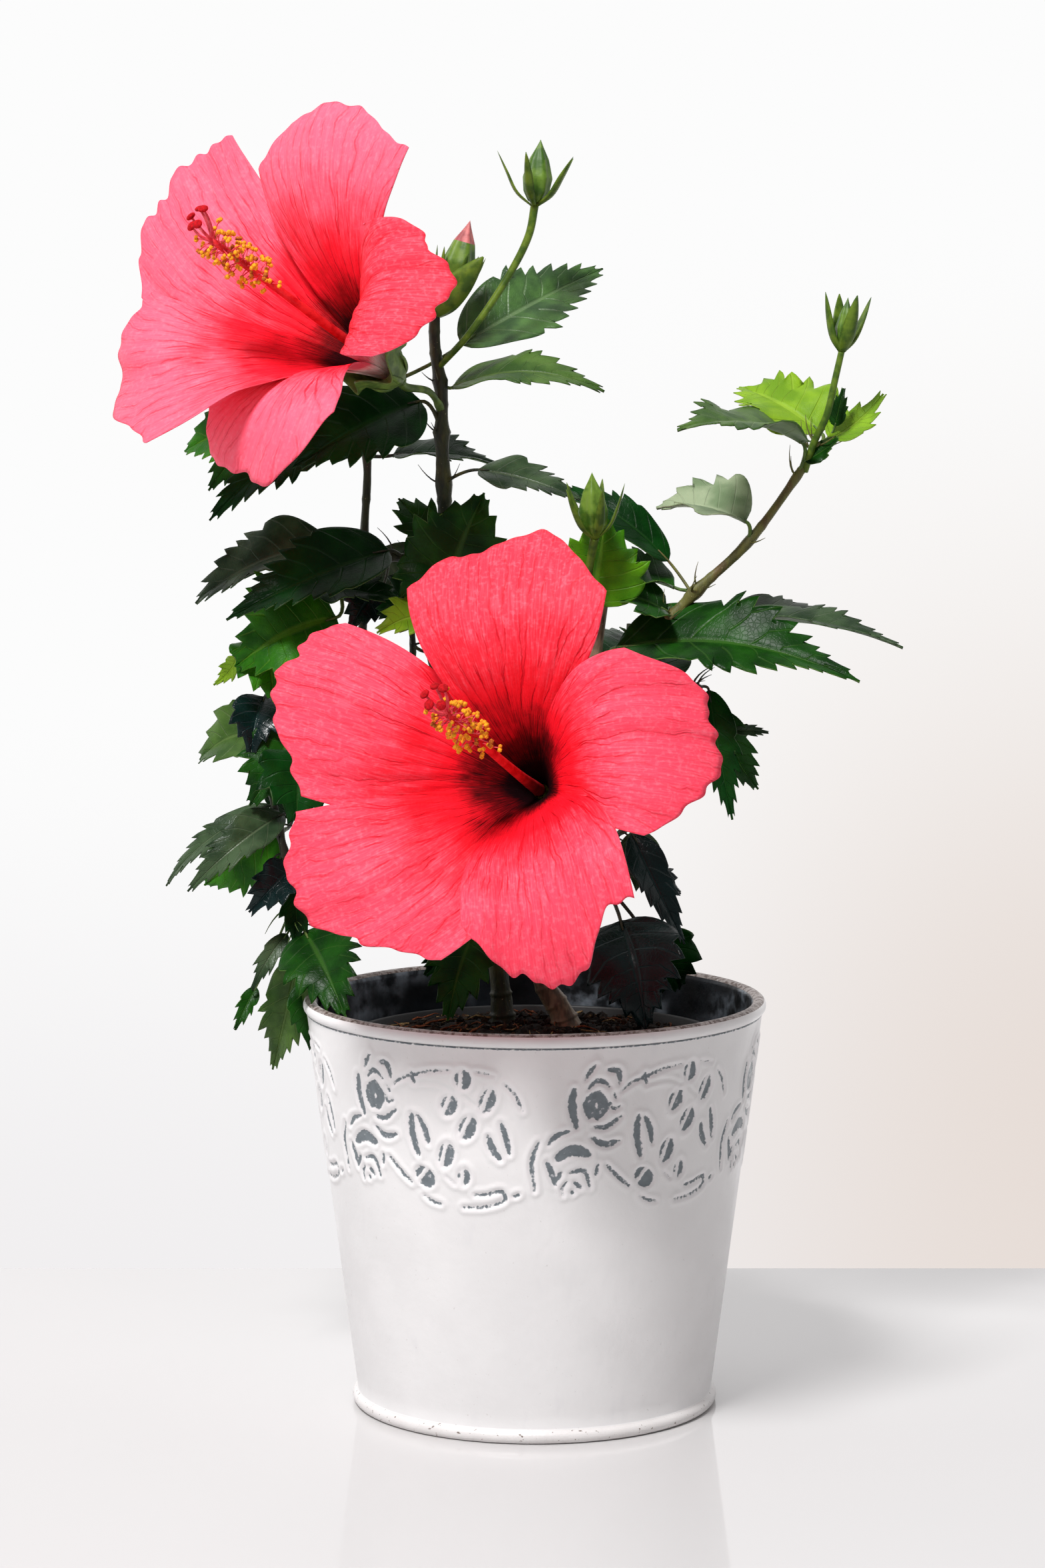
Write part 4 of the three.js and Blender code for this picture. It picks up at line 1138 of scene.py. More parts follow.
# %% Leaves by rule
RULED_LEAF = dict(shortest=46, longest=72, stalk=0.28, narrow=0.42, broad=0.54)


def seeded(seed):
    state = seed
    while True:
        state = (state * 1664525 + 1013904223) % 4294967296
        yield state / 4294967296


def ruled_leaves(stem, count, heading, spread, seed, low, high, crowded=()):
    """More leaves by rule. Those in crowded would touch a neighbour, so they are left out."""
    draw = seeded(seed)
    rows = []
    for index in range(count):
        place = (index + 0.3 + 0.5 * next(draw)) / count
        swing = math.radians(heading + spread * (1 if index % 2 else -1) * (0.25 + 0.75 * next(draw)))
        rise = 0.5 * next(draw) - 0.15
        length = RULED_LEAF["shortest"] + (RULED_LEAF["longest"] - RULED_LEAF["shortest"]) * next(draw)
        reach = np.array([math.cos(swing), math.sin(swing), rise]) * length
        share = RULED_LEAF["narrow"] + (RULED_LEAF["broad"] - RULED_LEAF["narrow"]) * next(draw)
        arch = 5 + 5 * next(draw)
        tilt = -70 * next(draw) * math.sin(swing)
        tip = smooth_path(stem, place)[0] + reach
        if index not in crowded and np.all(tip > low) and np.all(tip < high):
            rows.append((place, reach * RULED_LEAF["stalk"], reach, length * share, arch, tilt, 0, "dark"))
    return rows


print("a leaf by rule is", RULED_LEAF["shortest"], "to", RULED_LEAF["longest"], "mm long")

# %% Twigs with their leaves
TWIG_STEPS = 60
LEAF_WALL = 0.4
LAST_NODE = 0.98                      # no leaf springs nearer to the twig's tip than this place
STIPULE = 9


def stipules(form, foot, heading, luck, look):
    """A pair of hair-thin pointed stipules at a node."""
    for _ in range(2):
        aim = np.array([luck.uniform(-1, 1), luck.uniform(-1, 1), luck.uniform(-0.3, 0.3)])
        out = square_to(aim, heading)
        length = STIPULE * luck.uniform(0.6, 1.2)
        steps = np.linspace(0, 1, 6)[:, None]
        route = foot + length * (out * steps ** 0.8 + heading * 0.7 * steps ** 1.6)
        tube(form, route, np.linspace(0.42, 0.08, 6), 4, look)


def twig(form, stem, thick, nodes, look, seed):
    """A tapering twig with a swelling at each node."""
    along = np.linspace(0, 1, TWIG_STEPS)
    radii = np.interp(along, [0, 1], np.array(thick) / 2)
    for node in nodes:
        radii = radii * (1 + 0.28 * np.exp(-((along - node) * TWIG_STEPS / 2.2) ** 2))
    tube(form, smooth_path(stem, along), radii, 12, look, bark_relief(seed))


def foliage(name, stem, thick, leaves, bark, seed, slot="leaf", more=None):
    """A mass of foliage as two pieces: its leaves, which stand for the mass, and its twigs."""
    rows = list(leaves)
    if more:
        rows += ruled_leaves(stem, **more)
    luck = random.Random(seed)
    blades, twigs = new_form(), new_form()
    looks = sorted({row[7] for row in rows})
    twig(twigs, stem, thick, [row[0] for row in rows], 0, seed)
    for place, base, reach, width, arch, tilt, lean, look in rows:
        foot, ahead = smooth_path(stem, [place, min(place + 0.02, 1)])
        if place >= LAST_NODE:
            foot, ahead = smooth_path(stem, [LAST_NODE, 1])
        grow_leaf(blades, twigs, foot, base, reach, width, arch, tilt, lean, 2 * looks.index(look), luck,
                  0 if look in SHADED_LOOKS else 1)
        stipules(twigs, foot, unit(ahead - foot), luck, 0)
    finishes = [finish for look in looks for finish in leaf_finishes[look]]
    finish_piece(name + "_leaves", blades, finishes, [name + "_foliage"], wall=LEAF_WALL, under=1)
    finish_piece(name + "_twigs", twigs, [bark, GREEN_STEM])


print("a twig has", TWIG_STEPS, "steps")

# %% Places of the leaves
# Each leaf: its place on the twig, from 0 to 1; its blade's base and its tip, counted from there; its
# width, arch, tilt and lean; and its look.
FOLIAGE = {
    "tall_shoot": dict(
        stem=[(-31, 10, 297), (-31, 10, 312), (-32, 10, 334), (-32, 9, 350), (-34, 8, 366), (-34, 8, 379)],
        thick=(5, 3.6), bark=DARK_STEM, seed=101, leaves=[
            (0.64, (4, 0, -2), (56, -9, -3), 24, 7, 18, 0, "olive"),
            (0.42, (-7, -6, 11), (-50, -21, -11), 34, 7, 52, 0, "dark"),
            (0.26, (12, -6, 5), (48, -16, -5), 20, 3, 32, 0, "sheen"),
        ]),
    "second_shoot": dict(
        stem=[(-60, 25, 266), (-59, 25, 286), (-59, 25, 301), (-58, 25, 322), (-59, 25, 339), (-57, 26, 351)],
        thick=(3.2, 2.4), bark=DARK_TWIG, seed=102, leaves=[
            (1, (32, -10, 16), (81, 19, 42), 29, 4, 45, 0, "satin"),
            (0.66, (9, 5, 0), (47, 3, -4), 26, 3, 14, 0, "dark"),
            (0.79, (-9, -5, -5), (-52, -25, -32), 22, 9, 38, 0, "dark"),
            (0.85, (-32, 10, -4), (-64, 19, -14), 30, 5, 55, 0, "bright"),
            (0.84, (-37, 5, -9), (-54, -5, -26), 14, 5, 60, 0, "mid"),
        ]),
    "left_shoot": dict(
        stem=[(-31, 10, 290), (-41, 5, 292), (-50, 2, 294), (-65, 2, 292), (-76, 0, 284), (-83, 0, 272)],
        thick=(3, 1.8), bark=DARK_TWIG, seed=103, leaves=[
            (0.29, (-5, -5, 3), (-59, -27, -19), 28, 7, 50, 0, "dark"),
            (0.56, (-8, 4, 5), (-55, 13, -16), 26, 6, 34, 0, "sheen"),
            (0.68, (2, -7, -16), (-32, -15, -32), 40, 6, 70, 0, "bright"),
            (0.6, (-9, -9, -9), (20, -17, -12), 20, 2, 34, 0, "dark"),
            (0.93, (-12, 0, -9), (-8, -14, -31), 26, 4, 80, 0, "bright"),
            (0.97, (-21, 6, -15), (-29, 12, -25), 7, -3, 60, 0, "glow"),
            (0.37, (-5, 16, 2), (4, 28, -13), 24, 2, 88, 0, "sheen"),
            (0.4, (-4, 8, -13), (-13, 4, -25), 15, 2, 62, 0, "slate"),
        ],
        more=dict(count=2, heading=120, spread=60, seed=8, low=(-108, 10, 240), high=(-60, 80, 300))),
    "lower_left": dict(
        stem=[(-49, 27.4, 227), (-71, 12, 236), (-84, 5, 233), (-90, 0, 220), (-89, -2, 205), (-85, 0, 188)],
        thick=(2.6, 2), bark=DARK_TWIG, seed=104, leaves=[
            (0.46, (-5, 7, 3), (-30, 17, -8), 24, 4, 52, 0, "olive"),
            (0.54, (-4, 3, 21), (-8, -9, 2), 18, 3, 62, 0, "slate"),
            (0.66, (7, 1, 18), (-7, -11, -6), 25, 3, 84, 0, "mid"),
            (0.7, (12, -5, 15), (9, -14, -9), 30, 3, 84, 0, "dark"),
            (0.8, (-2, 5, 3), (-39, 12, -26), 10, 7, 40, 0, "sheen"),
            (0.84, (2, -1, 4), (-30, -14, -21), 15, 7, 56, 0, "sheen"),
            (0.88, (0, 10, 0), (-28, 26, -21), 25, 3, 88, 0, "bright"),
            (0.95, (3, -1, -5), (-12, -7, -20), 15, 3, 66, 0, "slate"),
            (0.97, (2, 6, -9), (3, -2, -31), 12, 2, 70, 0, "dark"),
        ],
        more=dict(count=3, heading=120, spread=60, seed=11, low=(-100, 10, 160), high=(-60, 80, 260))),
    "hanging": dict(
        stem=[(-85, 0, 190), (-85, 2, 180), (-84, 4, 170), (-81, 2, 166)],
        thick=(2, 1.6), bark=GREEN_STEM, seed=105, leaves=[
            (0.58, (-1, 0, -9), (-13, -6, -28), 7, 3, 70, 0, "sheen"),
            (0.6, (-12, -1, -27), (-19, -8, -41), 6, 1, 80, 0, "mid"),
            (0.98, (2, -2, -2), (17, -30, -27), 28, 4, 82, 0, "mid"),
            (0.89, (0, 5, -13), (-10, 19, -55), 17, 3, 85, -0.3, "olive"),
            (0.92, (1, 5, -21), (5, 3, -45), 12, 2, 85, 0, "mid"),
        ]),
    "right_shoot": dict(
        stem=[(44, 0, 270), (54, 0, 281), (73, 0, 299), (90, 0, 322), (97, 0, 333)],
        thick=(3.7, 2.2), bark=YOUNG_STEM, seed=106, leaves=[
            (0.06, (19, 5, -2), (79, -10, -9), 20, 4, 11, 0, "sheen"),
            (0.05, (18, 8, 0), (71, 24, -6), 22, 4, 12, 0, "sheen"),
            (0.08, (-2, -3, 2), (-25, -10, 8), 26, 3, 32, 0, "mid"),
            (0.25, (-8, 5, 11), (-49, 18, 36), 16, 6, 38, 0, "dark"),
            (0.28, (-8, 6, 0), (-38, 10, 3), 24, 3, 16, 0, "mid"),
            (0.5, (-1, -2, 7), (-31, 12, 11), 34, 3, 13, 0, "pale"),
            (0.74, (1, -5, 12), (-42, -34, 17), 36, 5, 13, 0, "olive"),
            (0.97, (2, 6, 4), (-25, 30, 19), 34, 4, 32, 0, "glow"),
            (1, (4, 0, 2), (23, 10, 17), 15, -3, 30, 0, "glow"),
            (1, (6, 3, 6), (9, 4, 19), 6, 1, 60, 0, "mid"),
            (0.92, (-3, -2, -3), (8, -6, 5), 8, -1, 50, 0, "mid"),
        ]),
    "right_low": dict(
        stem=[(19, 0, 250), (26, -8, 252), (42, -10, 253), (57, -4, 249)],
        thick=(2.6, 1.8), bark=DARK_TWIG, seed=107, leaves=[
            (0.3, (3, 7, 11), (84, -23, 2), 34, 7, 44, 0, "mid"),
            (0.97, (4, 3, -1), (12, -4, -45), 14, 4, 85, 0, "dark"),
            (0.93, (8, 13, -9), (24, 23, -38), 15, 3, 88, 0, "mid"),
            (0.95, (14, 11, -16), (26, 13, -17), 4, 1, 70, 0, "sheen"),
        ],
        more=dict(count=4, heading=60, spread=60, seed=17, low=(10, 15, 190), high=(80, 80, 275))),
    "low_right": dict(
        stem=[(4, 0, 177), (18, 5, 189), (31, 8, 199)],
        thick=(2.4, 1.8), bark=DARK_TWIG, seed=108, leaves=[
            (1, (3, -8, 0), (21, -18, -37), 15, 3, 60, 0.3, "slate"),
            (1, (4, 2, 0), (11, 10, -24), 16, 2, 90, 0, "sheen"),
            (0.63, (15, -4, -8), (29, -6, -14), 17, 2, 28, 0, "slate"),
            (0.51, (11, -27, -18), (19, -49, -52), 34, 5, 85, 0, "slate"),
            (0.45, (21, -8, -23), (34, 5, -45), 26, 3, 82, 0, "dark"),
        ],
        more=dict(count=2, heading=60, spread=70, seed=20, low=(0, 20, 150), high=(60, 80, 215),
                  crowded=(0,))),
    "low_front": dict(
        stem=[(-13, 10.5, 163), (-19, 2, 170)], thick=(2, 1.6), bark=DARK_TWIG, seed=109, leaves=[
            (0.97, (-2, -2, -5), (-11, -17, -34), 22, 3, 85, 0, "mid"),
            (0.9, (-13, 9, -12), (-20, 15, -23), 8, 1, 90, 0, "dark"),
        ]),
    "centre": dict(
        stem=[(22, 0, 269), (20, -8, 278), (19, -14, 285)], thick=(2.4, 1.8), bark=GREEN_STEM,
        seed=110, slot="young_leaf", leaves=[
            (0.35, (-2, -6, 3), (3, -10, 34), 33, 3, 85, 0, "lit"),
        ]),
    "centre_left": dict(
        stem=[(-30, 10, 283), (-26, -2, 283), (-22, -8, 280)], thick=(2.4, 1.8), bark=DARK_TWIG,
        seed=111, leaves=[
            (0.98, (-8, -1, 3), (5, -4, 36), 36, 5, 72, 0, "mid"),
            (0.3, (-4, -4, 14), (-19, 6, 30), 16, 3, 64, 0, "mid"),
            (0.5, (-5, -6, 10), (-13, -16, -10), 26, 4, 72, 0, "mid"),
            (0.74, (-10, -7, -7), (-29, -19, -12), 16, 2, 62, 0, "glow"),
            (0.4, (-8, -2, -3), (-27, 0, -9), 22, 2, 62, 0, "dark"),
        ]),
    "back_left": dict(
        stem=[(-16, 9, 188), (-32, 46, 214), (-42, 62, 242), (-44, 70, 270)], thick=(3, 1.8),
        bark=DARK_STEM, seed=112, leaves=[],
        more=dict(count=10, heading=120, spread=95, seed=23, low=(-85, 30, 165), high=(20, 118, 305),
                  crowded=(1,))),
    "back_right": dict(
        stem=[(5, -1, 186), (22, 36, 212), (32, 56, 238), (34, 64, 266)], thick=(3, 1.8),
        bark=DARK_STEM, seed=113, leaves=[],
        more=dict(count=10, heading=60, spread=95, seed=31, low=(-20, 30, 160), high=(78, 116, 300),
                  crowded=(0, 1))),
}
print("masses of foliage:", ", ".join(FOLIAGE))

# %% Grow the foliage
for name, mass in FOLIAGE.items():
    foliage(name, **mass)

# %% [markdown]
# ## Blooms
#
# A bloom is five broad petals that leave a narrow tube and open into a wheel. Each petal's middle line
# is a Bezier curve from the tube's floor through the throat to the tip. Across it the petal first wraps
# round the tube, then spreads flat. Its outer margin is ruffled and a little torn, fine pleats run out
# along the veins, and its two sides lie over or under the neighbours.

# %% Bloom measures and directions
TUBE_DEPTH = 22
TUBE_FLOOR_RADIUS = 2.6
TUBE_THROAT_RADIUS = 9
PETAL_WALL = 0.45
PETAL_VEINS = 7
VEIN_SPREAD = (0.35, 0.65)             # of the veins at the foot, and what is added towards the tip
PETAL_COLUMNS = 96
PETAL_ROWS = 80


def facing(axis):
    """A bloom's axis, and the directions to its right and its top for someone who faces it."""
    ahead = unit(axis)
    top = square_to(UP, ahead)
    return ahead, top, np.cross(top, ahead)


# Each petal: its azimuth from the right; how far out and how far ahead its tip lies; the bow of its
# middle line; its widths on its clockwise and counter-clockwise side, and how far out each is widest;
# how many degrees it sweeps round; how far its two sides lie ahead; and the reach of its margin across.
# Of the column, bare is the share without stamens, and lift is how far its stigmas turn up. The petals
# in shaded are those that lie deeper in their neighbours' shade.
BLOOMS = {
    "lower_bloom": dict(
        throat=(-4.6, -80, 227.3), axis=(-0.3, -0.895, 0.33), column_tip=(-28.5, -124, 252.5),
        bare=0.74, lift=0.3, shaded=(1,),
        petals=[
            (15, 55, 20, 20, (72, 58), (0.42, 0.42), -4, (-3, 3),
             (0.88, 1.04, 1.13, 1.16, 1.13, 1.11, 0.9)),
            (94, 68, 21, 22, (76, 61), (0.6, 0.78), 3, (-3.5, 3), (0.84, 1.01, 1.1, 1.06, 1.03, 1.0, 0.9)),
            (161, 84, 20, 5, (51, 68), (0.77, 0.55), 2, (-4, -5),
             (0.9, 0.98, 0.99, 1.01, 0.98, 0.9, 0.82)),
            (243, 77, 21, 7, (82, 62), (0.62, 0.6), -19, (3, -4.5),
             (0.83, 0.95, 1.02, 1.04, 0.97, 0.91, 0.84)),
            (302, 66, 22, 22, (56, 62), (0.4, 0.4), -11, (4.5, 4),
             (0.82, 0.98, 1.04, 1.09, 1.08, 0.95, 0.94)),
        ],
        stalk=[(6, 0, 186), (8, -22, 200), (8, -42, 210)]),
    "upper_bloom": dict(
        throat=(-62, -29.6, 367.3), axis=(-0.6, -0.645, 0.472), column_tip=(-105, -67, 400.5),
        bare=0.78, lift=0.6, shaded=(0,),
        petals=[
            (8, 53, 30, 16, (69, 46), (0.74, 0.74), 4, (0.2, 3.5),
             (0.91, 1.06, 1.09, 1.12, 1.03, 0.98, 0.68)),
            (91, 63, 42, 6, (92, 64), (0.83, 0.5), 2, (-2.5, -4),
             (0.84, 0.93, 1.01, 1.04, 1.01, 0.93, 0.82)),
            (171, 81, 34, -14, (68, 58), (0.8, 0.95), -17, (3, -3),
             (0.94, 0.99, 1.03, 1.02, 1.03, 1.01, 0.92)),
            (239, 59, 42, 7, (91, 86), (0.75, 0.8), -24, (4, 8),
             (0.76, 0.89, 1.05, 1.09, 1.13, 1.02, 0.94)),
            (280, 48, 26, 11, (68, 98), (0.6, 0.6), -20, (-0.5, -3.5),
             (0.76, 0.88, 1.08, 1.14, 1.13, 1.1, 0.82)),
        ],
        stalk=[(-32, 9, 344), (-36, 2, 350), (-44, -8, 352)]),
}
print("blooms:", ", ".join(BLOOMS))

# %% Shape a petal
RUFFLE = 4.4                          # how far the margin waves
RUFFLE_PACES = (3.1, 5.7, 9.5, 15)
NICK_PACES = (7, 12, 19, 29)


def petal(form, throat, directions, row, seed, look):
    azimuth, reach, rise, bow, widths, widest, sweep, lifts, margin = row
    ahead, top, right = directions
    luck = random.Random(seed)
    ruffles = [(luck.uniform(0.5, 1.0), pace, luck.uniform(0, 6.3)) for pace in RUFFLE_PACES]
    nicks = [(luck.uniform(0.003, 0.006), pace, luck.uniform(0, 6.3)) for pace in NICK_PACES]
    control = np.array([(TUBE_FLOOR_RADIUS, -TUBE_DEPTH), (TUBE_THROAT_RADIUS, 2), (reach / 2, rise + bow),
                        (reach, rise)], float)
    knots = [(place, share, 0) for place, share in zip(np.linspace(-1, 1, len(margin)), margin)]
    outline = smooth_path(knots, np.linspace(0, 1, 80))

    def rule(across, along):
        across = -across
        edge = np.abs(across)
        cut = np.interp(across, outline[:, 0], outline[:, 1])
        cut = cut + sum(size * np.sin(pace * across + start) for size, pace, start in nicks)
        place = (along * (1 - (1 - cut) * along ** 2.6))[:, None]
        radius, height = (control[0] * (1 - place) ** 3 + control[1] * 3 * place * (1 - place) ** 2
                          + control[2] * 3 * place ** 2 * (1 - place) + control[3] * place ** 3).T
        width = np.where(across > 0, widths[1], widths[0])
        opened = np.minimum(1, radius / reach / np.where(across > 0, widest[1], widest[0]))
        swell = width / 2 * np.sin(math.pi / 2 * opened) ** 0.8
        half = (swell ** -4.0 + (0.95 * radius) ** -4.0) ** -0.25
        wrap = np.exp(-radius / 12)
        turn = wrap * across * half / radius + (1 - wrap) * np.arctan2(across * half, radius)
        out = wrap * radius + (1 - wrap) * np.hypot(across * half, radius)
        turn = turn + math.radians(azimuth) + math.radians(sweep) * (radius / reach) ** 1.5
        side = np.where(across > 0, lifts[1], lifts[0]) * edge ** 1.5 * np.minimum(1, radius / 30)
        margin_share = along ** 4 + 0.35 * edge ** 6 * np.minimum(1, radius / 25)
        ruffle = sum(size * np.sin(pace * across + start + 2.5 * along) / pace ** 0.9
                     for size, pace, start in ruffles)
        open_share = np.clip((radius - 8) / 20, 0, 1)
        fan = across / (VEIN_SPREAD[0] + VEIN_SPREAD[1] * along)
        pleats = -0.6 * np.abs(np.cos(math.pi * PETAL_VEINS * fan / 2)) ** 3
        folds = 1.4 * np.sin(3.7 * fan + ruffles[0][2]) + 0.7 * np.sin(8.3 * fan + ruffles[1][2])
        height = height + side + RUFFLE * margin_share * ruffle
        height = height + open_share * (pleats * (1 - 0.4 * along) + folds * along)
        return (throat + right * (out * np.cos(turn))[:, None] + top * (out * np.sin(turn))[:, None]
                + ahead * height[:, None])

    shaped_grid(form, PETAL_COLUMNS, PETAL_ROWS, rule, look)


print("a petal has", PETAL_COLUMNS * PETAL_ROWS, "faces")

# %% [markdown]
# ## Petal finish
#
# From the throat outwards a petal goes from almost black maroon through scarlet to coral pink, and
# darker veins fan out over it. Each vein forks, and its branches fork again. On the petal's own map the
# veins are evenly spaced lines. Folding the distance to the nearest line, by subtracting a spread
# that grows outwards and taking the absolute value, splits every line in two, and doing that again
# splits them in four. The skin between them has a fine grain that runs along the petal.

# %% Petal finish
def petal_finish(name, throat, maroon, scarlet, coral, vein, dark_end, vein_share):
    skin = Finish(name, 0.6, Specular_IOR_Level=0.12, Subsurface_Weight=0.06,
                  Subsurface_Scale=1.5 * MM)
    skin.shader.inputs["Subsurface Radius"].default_value = (1, 0.3, 0.3)
    wander = skin.sum("MULTIPLY", skin.sum("SUBTRACT", skin.noise(14, 4), 0.5), 0.9)
    spread = skin.sum("MULTIPLY_ADD", skin.along, VEIN_SPREAD[1], VEIN_SPREAD[0])
    fan = skin.sum("DIVIDE", skin.sum("SUBTRACT", skin.across, 0.5), spread)
    lines = skin.sum("MULTIPLY_ADD", fan, float(PETAL_VEINS), wander)
    near = skin.sum("PINGPONG", lines, 0.5)
    near = skin.sum("ABSOLUTE", skin.sum("SUBTRACT", near, skin.fade(skin.along, 0.42, 0.9, 0, 0.25)))
    first = skin.fade(near, 0.06, 0.0)
    near = skin.sum("ABSOLUTE", skin.sum("SUBTRACT", near, skin.fade(skin.along, 0.6, 1.05, 0, 0.125)))
    second = skin.fade(near, 0.04, 0.0)
    strength = skin.fade(skin.along, 1.0, 0.4, 0.65 * vein_share, vein_share)
    patchy = skin.fade(skin.noise(9, 3), 0.36, 0.66, 0.15, 1.0)
    veins = skin.sum("MAXIMUM", first, skin.sum("MULTIPLY", second, 0.4))
    veins = skin.sum("MULTIPLY", veins, skin.sum("MULTIPLY", strength, patchy))
    grain = skin.noise(10, 4, (1, 0.12, 1), on=skin.map)
    crinkle = skin.noise(1.1, 3)
    flecks, streaks = skin.fade(skin.noise(1.5, 4), 0.48, 0.7, 0, 0.18), skin.fade(grain, 0.45, 0.7, 0, 0.16)
    tissue = skin.sum("ADD", flecks, streaks)
    shade = skin.sum("MULTIPLY", skin.sum("SUBTRACT", grain, 0.5), 0.3)
    shade = skin.sum("ADD", shade, skin.sum("MULTIPLY", skin.sum("SUBTRACT", skin.noise(13, 3), 0.5), 0.35))
    reach = skin.sum("SUBTRACT", skin.sum("ADD", skin.along, shade), skin.sum("MULTIPLY", veins, 0.1))
    pale = skin.mix(tissue, coral, tint(255, 150, 168))
    base = skin.mix(skin.fade(reach, dark_end + 0.1, 0.84), scarlet, pale)
    base = skin.mix(veins, base, vein)
    base = skin.mix(skin.fade(reach, dark_end - 0.07, dark_end + 0.12), maroon, base)
    skin.colour(skin.mix(skin.fade(reach, dark_end - 0.16, dark_end), throat, base))
    skin.relief(skin.sum("ADD", skin.sum("MULTIPLY", skin.sum("ADD", crinkle, grain), 0.5),
                         skin.sum("MULTIPLY", veins, -0.9)), 0.3)
    return skin.material


# Each list: an open petal and its back, then a petal in its neighbours' shade and its back.
petal_backs = {
    "lower_bloom": petal_finish("lower_petal_back", tint(236, 214, 204), tint(236, 160, 160),
                                tint(232, 70, 84), tint(246, 96, 120), tint(214, 40, 60), 0.2, 0.6),
    "upper_bloom": petal_finish("upper_petal_back", tint(240, 220, 210), tint(238, 170, 168),
                                tint(232, 66, 84), tint(246, 96, 122), tint(214, 40, 60), 0.2, 0.6),
}
petal_finishes = {
    "lower_bloom": [
        petal_finish("lower_petal", tint(20, 0, 3), tint(120, 2, 10), tint(238, 16, 36),
                     tint(252, 70, 94), tint(204, 8, 32), 0.33, 0.8), petal_backs["lower_bloom"],
        petal_finish("lower_petal_shaded", tint(20, 0, 3), tint(120, 2, 10), tint(232, 14, 32),
                     tint(244, 54, 74), tint(192, 6, 26), 0.33, 0.8), petal_backs["lower_bloom"]],
    "upper_bloom": [
        # In the upper bloom the dark eye is partly the flower's own colour and partly painted shade deep in
        # its throat; on the shaded copy it reaches further out.
        petal_finish("upper_petal", tint(40, 0, 3), tint(150, 2, 12), tint(240, 20, 42),
                     tint(253, 94, 119), tint(210, 12, 40), 0.34, 0.8), petal_backs["upper_bloom"],
        petal_finish("upper_petal_shaded", tint(40, 0, 3), tint(140, 2, 10), tint(226, 10, 28),
                     tint(240, 52, 72), tint(186, 6, 26), 0.38, 0.8), petal_backs["upper_bloom"]],
}
print("petal finishes:", ", ".join(petal_finishes))

# %% [markdown]
# ## Column, stamens and stigmas
#
# Out of the throat stands a red column. Its outer part bristles with fine filaments, each with a tiny
# orange anther of two lobes, and five branches at its end carry round, velvety, dark red stigmas. The
# anthers are icospheres of twenty faces, because there are well over a hundred lobes.

# %% Column finishes
def plain_finish(name, roughness, first, second, grain, depth=0.1, shine=0.4):
    """Two colours in soft blotches with a fine matching relief."""
    skin = Finish(name, roughness, Specular_IOR_Level=shine)
    skin.colour(skin.mix(skin.fade(skin.noise(grain, 3), 0.35, 0.65), first, second))
    skin.relief(skin.noise(grain / 3, 2), depth)
    return skin.material


COLUMN_RED = plain_finish("column_red", 0.45, tint(196, 12, 22), tint(226, 38, 44), 3)
FILAMENT_PINK = plain_finish("filament_pink", 0.5, tint(206, 40, 60), tint(232, 84, 96), 2)
POLLEN = plain_finish("pollen", 0.7, tint(226, 128, 2), tint(250, 176, 14), 0.7, 0.25)
POLLEN_DARK = plain_finish("pollen_dark", 0.75, tint(150, 60, 6), tint(206, 112, 10), 0.7, 0.25)
STIGMA_RED = plain_finish("stigma_red", 0.75, tint(150, 2, 12), tint(190, 6, 20), 0.8, 0.2, 0.15)
CALYX_GREEN = plain_finish("calyx_green", 0.5, tint(70, 96, 38), tint(104, 132, 56), 4)
print("column, pollen and calyx finishes are ready")

# %% Shape a column
STAMENS = 76
STAMEN_LENGTH = (4.5, 8.5)
STAMEN_TURN = 2.4                     # from each stamen to the next, in radians
ANTHER = 0.85
STIGMAS = 5
STIGMA_REACH = 10
STIGMA_RADIUS = 1.75
COLUMN_STEPS = 40


def add_ball(form, place, radius, fineness, look=0, flat=None):
    """A small ball, flattened along a direction if one is given."""
    points = bmesh.ops.create_icosphere(form, subdivisions=fineness, radius=radius)["verts"]
    for point in points:
        spot = np.array(point.co)
        if flat is not None:
            spot -= flat * np.dot(spot, flat) * 0.45
        point.co = Vector(place + spot)
    for face in {face for point in points for face in point.link_faces}:
        face.material_index, face.smooth = look, True


